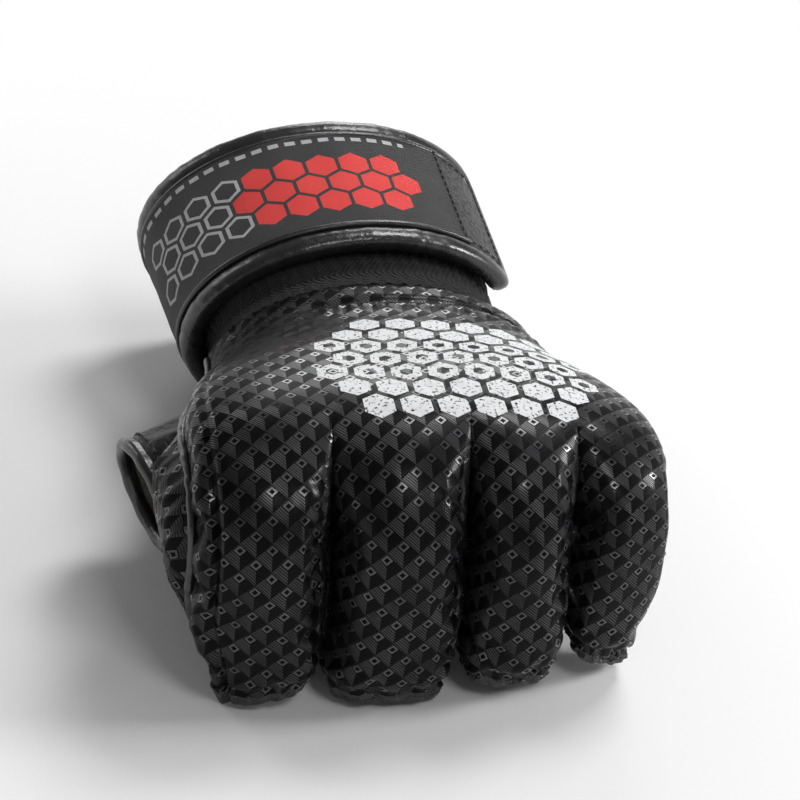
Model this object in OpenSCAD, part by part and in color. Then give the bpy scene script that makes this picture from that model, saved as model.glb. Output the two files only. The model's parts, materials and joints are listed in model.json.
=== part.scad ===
// Left-hand grappling glove, closed to a fist and lying on its finger hems and wrist strap.
// Millimetres. +X points to the little finger, +Y from the knuckles to the wrist, +Z to the back.
// The table is z = 0, and the origin lies under the middle of the glove's box.

/* [Knuckle pad] */
// Width of the pad across the four knuckles
knuckle_width = 110; // [102:1:118]
// Distance from the pad's thumb edge to the crest of the knuckles
crest_offset = 48; // [42:1:54]
// Radius of the pad where it bends over the knuckles
knuckle_radius = 32.5; // [30:0.5:36]
// Height of the knuckles' bending line above the table
hinge_height = 33.5; // [32:0.5:37]
// Fall of the pad from its crest to its thumb edge
thumb_side_drop = 14; // [11:0.5:17]
// Fall of the pad from its crest to its little-finger edge
little_side_drop = 15; // [12:0.5:18]
// Squareness of the pad's thumb edge, where 2 is round
thumb_edge_square = 4.5; // [3.5:0.5:6]

/* [Back of the hand] */
// Length of the padded back, from the bending line to the wrist
back_length = 68.5; // [62:0.5:74]
// Width of the padded back at the wrist
wrist_width = 81; // [74:1:86]
// Fall of the padded back from its crest to its sides at the wrist
wrist_drop = 22; // [18:0.5:25]
// How much lower the crest is at the wrist than at the knuckles
wrist_fall = 12; // [9:0.5:14]

/* [Finger pads] */
// Width of the index finger's share of the pad
index_width = 30.5; // [28:0.5:33]
// Width of the middle finger's share of the pad
middle_width = 31.5; // [28:0.5:33]
// Width of the ring finger's share of the pad
ring_width = 25.5; // [23:0.5:27]
// Height of the index hem above the table
index_rise = 2; // [0:0.5:5]
// Height of the ring hem above the table
ring_rise = 1; // [0:0.5:5]
// Height of the little hem above the table
little_rise = 6; // [3:0.5:9]
// Depth of the grooves between the fingers
groove_depth = 17; // [14:0.5:19]
// Width of the grooves between the fingers
groove_gap = 2.5; // [2:0.25:4]
// Length along the pad over which a groove opens
groove_run = 36; // [30:1:42]
// Squareness of a finger pad's cross-section, where 2 is round
pad_round = 2.6; // [2.2:0.1:3.4]
// Length of the soft knuckle zone that bends
bend_run = 34; // [30:1:38]

/* [Layers] */
// Thickness of the embossed leather cover
cover_thickness = 1.2; // [0.8:0.1:1.8]
// Thickness of the foam under the cover
foam_thickness = 11.5; // [9:0.5:13]
// Thickness of the lining under the back foam
lining_thickness = 1; // [0.6:0.1:1.6]
// Clearance between two layers that lie on each other
layer_gap = 0.3; // [0.2:0.05:0.4]
// Clearance between two pieces whose edges meet
seam_gap = 0.4; // [0.3:0.05:0.6]

/* [Finger loops] */
// Wall of the finger loops
loop_wall = 1.6; // [1.2:0.1:2.2]
// Inside depth of the finger loops, back to palm
finger_depth = 19; // [17:0.5:21]
// How much shorter a loop is on its palm side
loop_cutback = 14; // [9:0.5:15]
// Distance from the bending line down to the mouth of the loops
loop_top_drop = 4; // [3:0.5:6]
// Height of the gathered hem under each pad
hem_height = 4; // [3:0.5:6]
// Height of the gathers round a hem
gather_height = 0.7; // [0.3:0.1:1.2]
// Spacing of the gathers round a hem
gather_pitch = 3.4; // [2.8:0.1:5]

/* [Side and palm panels] */
// Thickness of the side and palm leather
panel_thickness = 1.6; // [1.2:0.1:2.2]
// Height of the palm panel above the table at the bending line
palm_rise = 19; // [16:0.5:22]
// Height of the palm panel above the table at the wrist
heel_rise = 8; // [6:0.5:11]
// Swelling of the shell round the ball of the thumb
thenar_drop = 8; // [6:0.5:10]
// Distance from the bending line back to the thumb-side panel
radial_front = 10; // [9:0.5:11]
// Distance from the bending line back to the little-finger-side panel
ulnar_front = 16; // [15:0.5:20]
// Distance from the bending line back to the open palm's edge
palm_front = 24; // [18:1:34]
// Thickness of the piping on the palm panel's front edge
palm_piping = 3.2; // [2.4:0.1:4]

/* [Thumb loop] */
// Radius of the thumb opening
thumb_radius = 12.5; // [11.5:0.5:13.5]
// Growth of the loop's radius from its rim to its root
thumb_flare = 1; // [0:0.5:2]
// Length of the loop
thumb_length = 10; // [8:0.5:14]
// Distance from the bending line back to the loop's root
thumb_back = 28; // [27:0.5:32]
// Distance from the pad's edge down to the middle of the loop's root
thumb_drop = 19.5; // [18.5:0.5:20.5]
// Downward slope of the loop
thumb_slope = 15; // [5:1:25]
// Forward turn of the loop
thumb_turn = 16; // [5:1:25]
// Thickness of the bound rim
thumb_rim = 3.4; // [2.6:0.2:4.2]

/* [Wrist strap] */
// Width of the strap along the wrist
strap_width = 48.5; // [44:0.5:54]
// Half width of the strap's ring at its front edge
strap_half_width = 42.5; // [39.5:0.5:45.5]
// Half height of the strap's ring at its front edge
strap_half_height = 29; // [27:0.5:31]
// Growth of the ring's half sizes towards the forearm
strap_flare = 2; // [0:0.5:4]
// Thickness of the strap
strap_thickness = 3.2; // [2.4:0.2:4]
// Width of the rolled leather edges
edge_width = 5.5; // [4:0.5:7]
// How far the rolled edges stand proud of the strap
edge_proud = 1; // [0.6:0.1:1.4]
// Gap between the padded back and the strap
strap_gap = 12.5; // [10:0.5:15]
// Upward slope of the wrist towards the forearm
strap_tilt = 6.4; // [3:0.2:9]
// Sideways turn of the wrist
strap_turn = 4.8; // [0:0.2:8]
// Thickness of the woven label
label_thickness = 0.6; // [0.4:0.1:0.9]
// Thickness of the hook patch and of the loop patch
patch_thickness = 0.6; // [0.4:0.1:0.9]
// Clearance between the strap's rolled edges and the loop patch, for the strap to swing open
patch_clearance = 0.8; // [0.7:0.1:1.2]
// Thickness of the stretch cuff
cuff_wall = 1.8; // [1.2:0.1:2.4]
// Corner radius of the pull tab
tab_corner = 8; // [6:0.5:10]
// Angle round the wrist where the strap is sewn on
strap_root = -30; // [-45:1:-20]
// Angle round the wrist where the sewn part ends
side_fold = 248; // [235:1:260]
// Angle round the wrist of the fold beside the thumb
back_fold = 150; // [135:1:165]
// Angle round the wrist of the fold before the pull tab
tab_fold = 47; // [40:1:60]
// Angle round the wrist of the pull tab's end
tab_end = 14; // [5:1:22]

/* [Hidden] */
FINGERS = ["index", "middle", "ring", "little"];

crest_x = -10.5;
thumb_edge_x = crest_x - crest_offset;
little_edge_x = thumb_edge_x + knuckle_width;
wrist_x = -1.5;

borders = [
  thumb_edge_x,
  thumb_edge_x + index_width,
  thumb_edge_x + index_width + middle_width,
  thumb_edge_x + index_width + middle_width + ring_width,
  little_edge_x,
];
rises = [index_rise, 0, ring_rise, little_rise];

groove_start = 4;
bend_start = 8;
bend_end = bend_start + bend_run;
quarter = knuckle_radius * PI / 2;

// Depths under the cover's face, from the outside in.
foam_top = cover_thickness + layer_gap;
foam_back = foam_top + foam_thickness;
lining_top = foam_back + layer_gap;
lining_back = lining_top + lining_thickness;
loop_front = foam_back + layer_gap;
loop_half_depth = loop_wall + finger_depth / 2;
loop_back = loop_front + 2 * loop_half_depth;
foam_side = 5;
gusset_inset = 0.8;
outer_side = gusset_inset + panel_thickness + layer_gap;
hem_square = 6;

// Share of a finger pad's half width that its foam and hem reach, where the groove is as deep as they are.
pad_span = acos(pow(1 - (foam_back - 1.4) / groove_depth, pad_round / 2)) / 90;

strap_front_y = back_length + strap_gap;
strap_centre = [wrist_x - 1.8, strap_front_y, (strap_half_height + edge_proud) * cos(strap_tilt)];
strap_along = [-sin(strap_turn) * cos(strap_tilt), cos(strap_turn) * cos(strap_tilt), sin(strap_tilt)];
strap_side_way = [cos(strap_turn), sin(strap_turn), 0];
strap_up = cross(strap_side_way, strap_along);
edge_share = edge_width / strap_width;
cuff_slip = 0.1;
cuff_face = strap_thickness + edge_proud + patch_clearance + patch_thickness + cuff_slip;
fold_gap = 0.5;

thumb_axis = [-cos(thumb_slope) * cos(thumb_turn), -cos(thumb_slope) * sin(thumb_turn), -sin(thumb_slope)];
thumb_edge = back_point(-1, -thumb_back, 0, panel_thickness);
thumb_root = [thumb_edge[0], thumb_back, thumb_edge[2] - thumb_drop];
thumb_across = [-sin(thumb_turn), cos(thumb_turn), 0];
thumb_up = cross(thumb_across, thumb_axis);
rim_along = thumb_length + layer_gap + thumb_rim / 2;
rim_radius = thumb_radius + loop_wall / 2;

// Outermost points of the glove, which set the origin.
box_left = (thumb_root + rim_along * thumb_axis)[0]
  - rim_radius * sqrt(1 - pow(thumb_axis[0], 2)) - thumb_rim / 2;
box_front = -knuckle_radius - gather_height;
box_rear = strap_front_y + strap_width * strap_along[1]
  + norm([
    (strap_half_width + strap_flare + edge_proud) * strap_side_way[1],
    (strap_half_height + strap_flare / 2 + edge_proud) * strap_up[1],
  ]);

// The glove is drawn from the bending line, and this offset puts the origin under its middle.
stand_offset = -[(box_left + little_edge_x) / 2, (box_front + box_rear) / 2, 0];

// Small helpers for numbers and rows of numbers.
function smooth(t) = let (c = min(max(t, 0), 1)) c * c * (3 - 2 * c);
function mix(a, b, t) = a + (b - a) * t;
function steps(a, b, n) = [for (i = [0 : n]) mix(a, b, i / n)];
function sum(v) = len(v) == 0 ? 0 : v * [for (i = v) 1];

// Superellipse quarter: distance across and fall from the crest, for t from 0 to 1 or -1.
function across(t, p) = sign(t) * pow(sin(90 * abs(t)), 2 / p);
function fall(t, p) = 1 - pow(cos(90 * abs(t)), 2 / p);
function fade(t) = sqrt(cos(90 * abs(t)));

// Point on the pad: q runs back from the bending line when negative and down over the knuckles when positive.
function bend(x, q, depth, w) =
  let (
    angle = min(max(q / knuckle_radius, 0), PI / 2) * 180 / PI,
    run = max(-q, 0),
    hang = max(q - quarter, 0),
    r = knuckle_radius - depth
  ) [x, run - r * sin(angle), hinge_height + r * cos(angle) - hang - wrist_fall * w];

// Padded back of the hand: t from -1 at the thumb edge to 1 at the little-finger edge.
function back_point(t, q, depth, side) =
  let (
    w = smooth(-q / back_length),
    knuckle_half = t < 0 ? crest_offset : knuckle_width - crest_offset,
    square = t < 0 ? thumb_edge_square : 2,
    knuckle_x = crest_x + (knuckle_half - side) * across(t, square),
    knuckle_d = (t < 0 ? thumb_side_drop : little_side_drop) * fall(t, square),
    end_x = wrist_x + (wrist_width / 2 - side) * across(t, 2),
    end_d = wrist_drop * fall(t, 2)
  ) bend(mix(knuckle_x, end_x, w), q, mix(knuckle_d, end_d, w) + depth * fade(t), w);

// Fall of the knuckle crest at a given x.
function crest_fall(x) =
  let (
    thumb = x < crest_x,
    half = thumb ? crest_offset : knuckle_width - crest_offset,
    square = thumb ? thumb_edge_square : 2,
    reach = min(abs(x - crest_x) / half, 1)
  ) (thumb ? thumb_side_drop : little_side_drop) * (1 - pow(max(1 - pow(reach, square), 0), 1 / square));

// Sides of a finger pad where the groove has opened by the share given.
function pad_low(i, open) = borders[i] + (i == 0 ? 0 : mix(seam_gap, groove_gap, open) / 2);
function pad_high(i, open) = borders[i + 1] - (i == 3 ? 0 : mix(seam_gap, groove_gap, open) / 2);
function groove_open(q) = smooth((q - groove_start) / groove_run);

// Finger pad: t from -1 to 1 across the pad, q along it.
function pad_point(i, t, q, depth, side) =
  let (
    open = groove_open(q),
    low = pad_low(i, open),
    high = pad_high(i, open),
    middle = (low + high) / 2,
    half = (high - low) / 2,
    s = across(t, pad_round),
    outer_edge = (i == 0 && t < 0) || (i == 3 && t > 0),
    groove = outer_edge ? 0 : groove_depth * open * fall(t, pad_round)
  ) bend(middle + s * (half - side), q, crest_fall(middle + s * half) + groove + depth * fade(t), 0);

// Flat back of a finger pad's foam, which leans with the crest as the finger loop does.
function pad_back_point(i, t, q, side) =
  let (
    open = groove_open(q),
    low = pad_low(i, open),
    high = pad_high(i, open),
    x = (low + high) / 2 + across(t, pad_round) * ((high - low) / 2 - side)
  ) bend(x, q, loop_depth(i, x) - layer_gap, 0);

// Inset of the foam from a pad's sides; on the outer sides it leaves room for the gusset.
function foam_inset(i, t) = (i == 0 && t < 0) || (i == 3 && t > 0) ? outer_side : foam_top;

// Finger loop: sizes, and a point at an angle round it, at a height and a distance in from its outside.
function loop_middle(i) = (pad_low(i, 1) + pad_high(i, 1)) / 2;
function loop_half(i) = (pad_high(i, 1) - pad_low(i, 1)) / 2 - cover_thickness - layer_gap;
function loop_lean(i) =
  let (m = loop_middle(i), d = 0.7 * loop_half(i)) (crest_fall(m + d) - crest_fall(m - d)) / (2 * d);
function loop_depth(i, x) = crest_fall(loop_middle(i)) + loop_lean(i) * (x - loop_middle(i)) + loop_front;
function power_circle(a, p) = [sign(cos(a)) * pow(abs(cos(a)), 2 / p), sign(sin(a)) * pow(abs(sin(a)), 2 / p)];
function loop_point(i, angle, level, inset) =
  let (
    c = power_circle(angle, hem_square),
    x = loop_middle(i) + c[0] * (loop_half(i) - inset),
    deep = loop_half_depth + c[1] * (loop_half_depth - inset),
    low = rises[i] + hem_height + seam_gap + loop_cutback * deep / (2 * loop_half_depth),
    high = hinge_height - loop_top_drop
  ) [x, loop_depth(i, x) + deep - knuckle_radius, mix(high, low, level)];

// Shell under the back: angle 0 at the little-finger side, 90 in the palm and 180 at the thumb side.
function shell_point(angle, q, inset) =
  let (
    w = smooth(-q / back_length),
    right = back_point(1, q, 0, inset),
    left = back_point(-1, q, 0, inset),
    c = power_circle(angle, 4),
    edge_z = mix(left[2], right[2], (c[0] + 1) / 2) - seam_gap,
    ball = thenar_drop * smooth(0.4 - 0.8 * c[0]) * sin(180 * min(-q / back_length, 1)),
    floor_z = mix(palm_rise, heel_rise, w) - ball + inset
  ) [mix(left[0], right[0], (c[0] + 1) / 2), right[1], mix(edge_z, floor_z, c[1])];

// Wrist ring: angle 0 at the little-finger side and 90 on the back, f from the front edge to the rear edge.
function ring_point(angle, f, lift) =
  strap_centre
  + (strap_half_width + strap_flare * f + lift) * cos(angle) * strap_side_way
  + (strap_half_height + strap_flare * f / 2 + lift) * sin(angle) * strap_up
  + f * strap_width * strap_along;

// Whole loop at the rear end of the hand, matched by angle to the wrist ring.
function hand_end_point(angle, gap, inset) =
  let (p = angle <= 180
    ? back_point(1 - angle / 90, -back_length, inset, inset)
    : shell_point(360 - angle, -back_length, inset)) [p[0], p[1] + gap, p[2]];

function thumb_point(angle, along, radius) =
  thumb_root + thumb_axis * along + radius * (cos(angle) * thumb_across + sin(angle) * thumb_up);

// Thumb side of the shell at a given y and z, and the way along the thumb at which a line meets it.
function shell_side_x(y, z, inset) =
  let (
    w = smooth(y / back_length),
    left = back_point(-1, -y, 0, inset),
    right = back_point(1, -y, 0, inset),
    ball = thenar_drop * sin(180 * min(y / back_length, 1)),
    top = left[2] - seam_gap,
    sunk = (top - z) / (top - mix(palm_rise, heel_rise, w) + ball - inset),
    side = pow(1 - pow(min(max(sunk, 0), 0.98), 4), 1 / 4)
  ) mix(left[0], right[0], (1 - side) / 2);
function thumb_meets(angle, radius, along = 0, tries = 8) =
  let (p = thumb_point(angle, along, radius), miss = shell_side_x(p[1], p[2], panel_thickness) - p[0])
    tries == 0 ? along : thumb_meets(angle, radius, along + 0.7 * miss / thumb_axis[0], tries - 1);

// Solids from grids of points. Every face is a triangle, and the faces are turned outwards.
function quad(a, b, c, d) = [[a, b, c], [a, c, d]];
function signed_volume(points, faces) =
  sum([for (f = faces) points[f[0]] * cross(points[f[1]], points[f[2]])]);

module solid(points, faces) {
  inward = signed_volume(points, faces) > 0;
  polyhedron(points, inward ? [for (f = faces) [f[0], f[2], f[1]]] : faces, convexity = 6);
}

// Layer between two grids of one size; a closed layer joins its last column to its first.
module layer(outer, inner, closed = false) {
  rows = len(outer);
  cols = len(outer[0]);
  span = closed ? cols : cols - 1;
  half = rows * cols;
  points = concat([for (row = outer) each row], [for (row = inner) each row]);
  top = [for (i = [0 : rows - 2], j = [0 : span - 1])
    each quad(i * cols + j, i * cols + (j + 1) % cols, (i + 1) * cols + (j + 1) % cols, (i + 1) * cols + j)];
  bottom = [for (f = top) [f[0] + half, f[2] + half, f[1] + half]];
  last = (rows - 1) * cols;
  ends = [for (j = [0 : span - 1]) each concat(
    quad((j + 1) % cols, j, j + half, (j + 1) % cols + half),
    quad(last + j, last + (j + 1) % cols, last + (j + 1) % cols + half, last + j + half))];
  sides = closed ? [] : [for (i = [0 : rows - 2]) each concat(
    quad(i * cols, (i + 1) * cols, (i + 1) * cols + half, i * cols + half),
    quad((i + 1) * cols + cols - 1, i * cols + cols - 1, i * cols + cols - 1 + half,
      (i + 1) * cols + cols - 1 + half))];
  solid(points, concat(top, bottom, ends, sides));
}

// Solid cord through a list of rings; a looped cord joins its last ring to its first.
module cord(rings, looped = false) {
  rows = len(rings);
  cols = len(rings[0]);
  span = looped ? rows : rows - 1;
  points = [for (row = rings) each row];
  wall = [for (i = [0 : span - 1], j = [0 : cols - 1])
    each quad(i * cols + j, i * cols + (j + 1) % cols,
      ((i + 1) % rows) * cols + (j + 1) % cols, ((i + 1) % rows) * cols + j)];
  last = (rows - 1) * cols;
  caps = looped ? [] : [for (j = [1 : cols - 2]) each [[0, j + 1, j], [last, last + j, last + j + 1]]];
  solid(points, concat(wall, caps));
}

// Layered pads
module back_layer(depth, thick, side, side_thick) {
  q_list = steps(-back_length, bend_start - seam_gap, 8);
  t_list = steps(-1, 1, 18);
  layer(
    [for (q = q_list) [for (t = t_list) back_point(t, q, depth, side)]],
    [for (q = q_list) [for (t = t_list) back_point(t, q, depth + thick, side + side_thick)]]
  );
}

module back_cover() {
  color([0.06, 0.06, 0.065]) back_layer(0, cover_thickness, 0, cover_thickness);
}

module back_foam() {
  color([0.3, 0.3, 0.32]) back_layer(foam_top, foam_thickness, foam_top, foam_side);
}

module back_lining() {
  color([0.55, 0.52, 0.46])
    back_layer(lining_top, lining_thickness, foam_top + foam_side + layer_gap, lining_thickness);
}

// Lining that closes the bottoms of the grooves inside the bend.
module knuckle_lining() {
  q_list = steps(bend_start, bend_end, 6);
  x_list = steps(thumb_edge_x + foam_side, little_edge_x - 2 * foam_side, 12);
  top = groove_depth + layer_gap;
  color([0.2, 0.2, 0.21]) layer(
    [for (q = q_list) [for (x = x_list) bend(x, q, crest_fall(x) + top, 0)]],
    [for (q = q_list) [for (x = x_list) bend(x, q, crest_fall(x) + top + lining_thickness, 0)]]
  );
}

module pad_cover(i, q_from, q_to, rows, cols) {
  q_list = steps(q_from, q_to, rows);
  t_list = steps(-1, 1, cols);
  layer(
    [for (q = q_list) [for (t = t_list) pad_point(i, t, q, 0, 0)]],
    [for (q = q_list) [for (t = t_list) pad_point(i, t, q, cover_thickness, cover_thickness)]]
  );
}

module pad_foam(i, q_from, q_to, rows, cols) {
  q_list = steps(q_from, q_to, rows);
  t_list = steps(-pad_span, pad_span, cols);
  layer(
    [for (q = q_list) [for (t = t_list) pad_point(i, t, q, foam_top, foam_inset(i, t))]],
    [for (q = q_list) [for (t = t_list) pad_back_point(i, t, q, foam_inset(i, t))]]
  );
}

// Length along the pad at which finger i's cover and foam end, above the hem.
function pad_end(i) = hinge_height + quarter - rises[i] - hem_height - seam_gap;

module knuckle_cover(i) {
  color([0.07, 0.07, 0.075]) pad_cover(i, bend_start, bend_end - seam_gap, 6, 12);
}

module knuckle_foam(i) {
  color([0.3, 0.3, 0.32]) pad_foam(i, bend_start, bend_end - seam_gap, 5, 8);
}

module finger_cover(i) {
  color([0.06, 0.06, 0.065]) pad_cover(i, bend_end, pad_end(i), 4, 14);
}

module finger_foam(i) {
  color([0.3, 0.3, 0.32]) pad_foam(i, bend_end, pad_end(i), 3, 10);
}

// Finger loop: a tube for the finger, cut back towards the palm.
module finger_loop(i) {
  angles = [for (k = [0 : 31]) k * 360 / 32];
  levels = steps(0, 1, 2);
  color([0.1, 0.1, 0.105]) layer(
    [for (v = levels) [for (a = angles) loop_point(i, a, v, 0)]],
    [for (v = levels) [for (a = angles) loop_point(i, a, v, loop_wall)]],
    closed = true
  );
}

// Gathered hem that closes the end of a pad: a flat-bottomed lip whose face is drawn into pleats.
module finger_hem(i) {
  width = pad_high(i, 1) - pad_low(i, 1);
  pleats = round(width / gather_pitch);
  count = 4 * pleats;
  front = [for (k = [0 : count]) let (
    t = mix(-pad_span, pad_span, k / count),
    p = pad_point(i, t, pad_end(i), 0, 0),
    wave = gather_height * (0.5 + 0.5 * cos(360 * pleats * k / count))
  ) [p[0], p[1] - wave]];
  back = [for (k = [6 : -1 : 0]) let (
    t = mix(-pad_span, pad_span, k / 6),
    p = pad_back_point(i, t, pad_end(i), foam_inset(i, t))
  ) [p[0], p[1]]];
  color([0.12, 0.12, 0.125])
    translate([0, 0, rises[i]])
      linear_extrude(height = hem_height)
        polygon(concat(front, back));
}

// Side and palm shell, with the thumb's way through it
module shell_layer(angle_from, angle_to, q_front, rows, cols) {
  q_list = steps(-back_length, -q_front, rows);
  angles = steps(angle_from, angle_to, cols);
  layer(
    [for (q = q_list) [for (a = angles) shell_point(a, q, 0)]],
    [for (q = q_list) [for (a = angles) shell_point(a, q, panel_thickness)]]
  );
}

module thumb_way(clearance) {
  radius = thumb_radius + thumb_flare + loop_wall + clearance;
  angles = [for (k = [0 : 31]) k * 360 / 32];
  reach = 2 * thumb_length;
  cord([for (s = [-reach, reach]) [for (a = angles) thumb_point(a, s, radius)]]);
}

palm_from = 52;
palm_to = 128;
palm_slip = 0.5;

module radial_panel() {
  color([0.09, 0.09, 0.095]) difference() {
    shell_layer(palm_to + palm_slip, 180, radial_front, 7, 7);
    thumb_way(seam_gap);
  }
}

module ulnar_panel() {
  color([0.09, 0.09, 0.095]) shell_layer(0, palm_from - palm_slip, ulnar_front, 7, 7);
}

module palm_panel() {
  color([0.11, 0.11, 0.115]) difference() {
    shell_layer(palm_from, palm_to, palm_front, 6, 10);
    thumb_way(seam_gap);
  }
}

// Piping rolled along the open palm's edge.
module palm_binding() {
  rings = [for (a = steps(palm_from + 2, palm_to - 6, 14)) let (
    p = shell_point(a, -palm_front, panel_thickness / 2)
  ) [for (k = [0 : 7]) p + palm_piping / 2 * [0, cos(45 * k), sin(45 * k)]
      - [0, palm_piping / 2 + seam_gap, 0]]];
  color([0.08, 0.08, 0.085]) cord(rings);
}

// Side gusset that closes the knuckle bend between the pad's edge, the side panel and the finger loop.
module side_gusset(side, x, drop, front) {
  radius = knuckle_radius - drop - seam_gap;
  foot = hinge_height - loop_top_drop + seam_gap;
  rear = front - seam_gap;
  arc = [for (a = [5 : 10 : 85]) [-radius * sin(a), hinge_height + radius * cos(a)]];
  outline = concat(
    [[rear, foot]],
    [for (y = steps(rear, 0, 3)) [y, back_point(side, -y, 0, 0)[2] - seam_gap]],
    arc,
    [[-radius, hinge_height], [-radius, foot]]
  );
  color([0.1, 0.1, 0.105])
    translate([x, 0, 0])
      rotate([90, 0, 90])
        linear_extrude(height = panel_thickness)
          polygon(outline);
}

module radial_gusset() {
  side_gusset(-1, thumb_edge_x + gusset_inset, thumb_side_drop, radial_front);
}

module ulnar_gusset() {
  side_gusset(1, little_edge_x - gusset_inset - panel_thickness, little_side_drop, ulnar_front);
}

// Thumb loop with its bound rim
// The loop's root is cut to the shell's side, and passes through it with a clearance.
module thumb_loop() {
  angles = [for (k = [0 : 31]) k * 360 / 32];
  root = thumb_radius + thumb_flare;
  stations = [0, 0.5, 1];
  color([0.09, 0.09, 0.095]) layer(
    [for (s = stations) [for (a = angles)
      thumb_point(a, mix(thumb_meets(a, root + loop_wall), thumb_length, s), root - thumb_flare * s + loop_wall)]],
    [for (s = stations) [for (a = angles)
      thumb_point(a, mix(thumb_meets(a, root + loop_wall), thumb_length, s), root - thumb_flare * s)]],
    closed = true
  );
}

module thumb_binding() {
  rings = [for (k = [0 : 31]) [for (j = [0 : 7])
    thumb_point(k * 360 / 32, rim_along + thumb_rim / 2 * cos(45 * j),
      rim_radius + thumb_rim / 2 * sin(45 * j))]];
  color([0.07, 0.07, 0.075]) cord(rings, looped = true);
}

// Stretch neck and cuff
module wrist_neck() {
  angles = [for (k = [0 : 39]) 9 * k];
  shares = steps(0, 1, 3);
  color([0.05, 0.05, 0.055]) layer(
    [for (s = shares) [for (a = angles)
      mix(hand_end_point(a, seam_gap, 2), ring_point(a, edge_share / 2, -cuff_face), s)]],
    [for (s = shares) [for (a = angles)
      mix(hand_end_point(a, seam_gap, 2 + cuff_wall), ring_point(a, edge_share / 2, -cuff_face - cuff_wall), s)]],
    closed = true
  );
}

module cuff() {
  angles = [for (k = [0 : 39]) 9 * k];
  shares = steps(edge_share / 2 + seam_gap / strap_width, 1 - edge_share / 2, 2);
  color([0.05, 0.05, 0.055]) layer(
    [for (f = shares) [for (a = angles) ring_point(a, f, -cuff_face)]],
    [for (f = shares) [for (a = angles) ring_point(a, f, -cuff_face - cuff_wall)]],
    closed = true
  );
}

// Pieces of the wrist strap, as bent layers and rolled edges between two angles
module strap_layer(a_from, a_to, f_from, f_to, lift, thick) {
  angles = steps(a_from, a_to, max(3, round(abs(a_to - a_from) / 9)));
  shares = steps(f_from, f_to, 2);
  layer(
    [for (a = angles) [for (f = shares) ring_point(a, f, lift)]],
    [for (a = angles) [for (f = shares) ring_point(a, f, lift - thick)]]
  );
}

module strap_edge(a_from, a_to, f) {
  angles = steps(a_from, a_to, max(3, round(abs(a_to - a_from) / 9)));
  tall = strap_thickness / 2 + edge_proud;
  color([0.05, 0.05, 0.055]) cord([for (a = angles) [for (k = [0 : 7])
    ring_point(a, f + edge_share / 2 * cos(45 * k), -strap_thickness / 2 + tall * sin(45 * k))]]);
}

// Degrees round the wrist that a short length covers.
function turn(length) = length / strap_half_width * 180 / PI;
band_front = edge_share + seam_gap / strap_width;
band_rear = 1 - band_front;
label_front = band_front + 0.02;
label_rear = 1 - label_front;
anchor_to = side_fold - 360 + turn(fold_gap / 2);
side_from = side_fold - turn(fold_gap / 2);
side_to = back_fold + turn(fold_gap / 2);
back_from = back_fold - turn(fold_gap / 2);
back_to = tab_fold + turn(fold_gap / 2);
tab_from = tab_fold - turn(fold_gap / 2);

module strap_band(a_from, a_to) {
  color([0.08, 0.08, 0.085]) strap_layer(a_from, a_to, band_front, band_rear, 0, strap_thickness);
}

module woven_label(a_from, a_to) {
  color([0.45, 0.06, 0.07])
    strap_layer(a_from, a_to, label_front, label_rear, layer_gap + label_thickness, label_thickness);
}

module front_edge(a_from, a_to) {
  strap_edge(a_from, a_to, edge_share / 2);
}

module rear_edge(a_from, a_to) {
  strap_edge(a_from, a_to, 1 - edge_share / 2);
}

// The pull tab's rolled edge runs down both sides and round the end.
module tab_edge() {
  tall = strap_thickness / 2 + edge_proud;
  half = 0.5 - edge_share / 2;
  end = tab_end + turn(edge_width / 2);
  corner = turn(tab_corner);
  bow = tab_corner / strap_width;
  path = concat(
    [for (a = steps(tab_from, end + corner, 3)) [a, 0.5 - half, 0]],
    [for (k = [1 : 5]) [end + corner * (1 - sin(18 * k)), 0.5 - half + bow * (1 - cos(18 * k)), 18 * k]],
    [for (k = [5 : -1 : 0]) [end + corner * (1 - sin(18 * k)), 0.5 + half - bow * (1 - cos(18 * k)), 180 - 18 * k]],
    [for (a = steps(end + corner, tab_from, 3)) if (a > end + corner) [a, 0.5 + half, 180]]
  );
  color([0.05, 0.05, 0.055]) cord([for (p = path) [for (k = [0 : 7])
    ring_point(p[0] - turn(edge_width / 2) * cos(45 * k) * sin(p[2]),
      p[1] - edge_share / 2 * cos(45 * k) * cos(p[2]), -strap_thickness / 2 + tall * sin(45 * k))]]);
}

// Flat pieces inside the tab's edge: their corners are rounded about the same centre as the edge's.
module tab_layer(inset, lift, thick) {
  half = 0.5 - edge_share / 2;
  end = tab_end + turn(edge_width / 2);
  round_mm = tab_corner - inset;
  centre_a = end + turn(tab_corner);
  flat = half - tab_corner / strap_width;
  arc = [for (k = [0 : 5]) [centre_a - turn(round_mm) * cos(18 * k), flat + round_mm / strap_width * sin(18 * k)]];
  path = concat(arc, [for (a = steps(centre_a, tab_from, 2)) if (a > centre_a) [a, half - inset / strap_width]]);
  layer(
    [for (p = path) [for (u = [-1, 0, 1]) ring_point(p[0], 0.5 + u * p[1], lift)]],
    [for (p = path) [for (u = [-1, 0, 1]) ring_point(p[0], 0.5 + u * p[1], lift - thick)]]
  );
}

module tab_band() {
  color([0.08, 0.08, 0.085]) tab_layer(edge_width / 2 + seam_gap, 0, strap_thickness);
}

module tab_hook() {
  color([0.16, 0.16, 0.17])
    tab_layer(edge_width / 2 + 2 * seam_gap, -strap_thickness - layer_gap / 3, patch_thickness);
}

module loop_patch() {
  color([0.14, 0.14, 0.15])
    strap_layer(tab_fold - 2, strap_root + 2, label_front, label_rear, cuff_slip + patch_thickness - cuff_face,
      patch_thickness);
}

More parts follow.
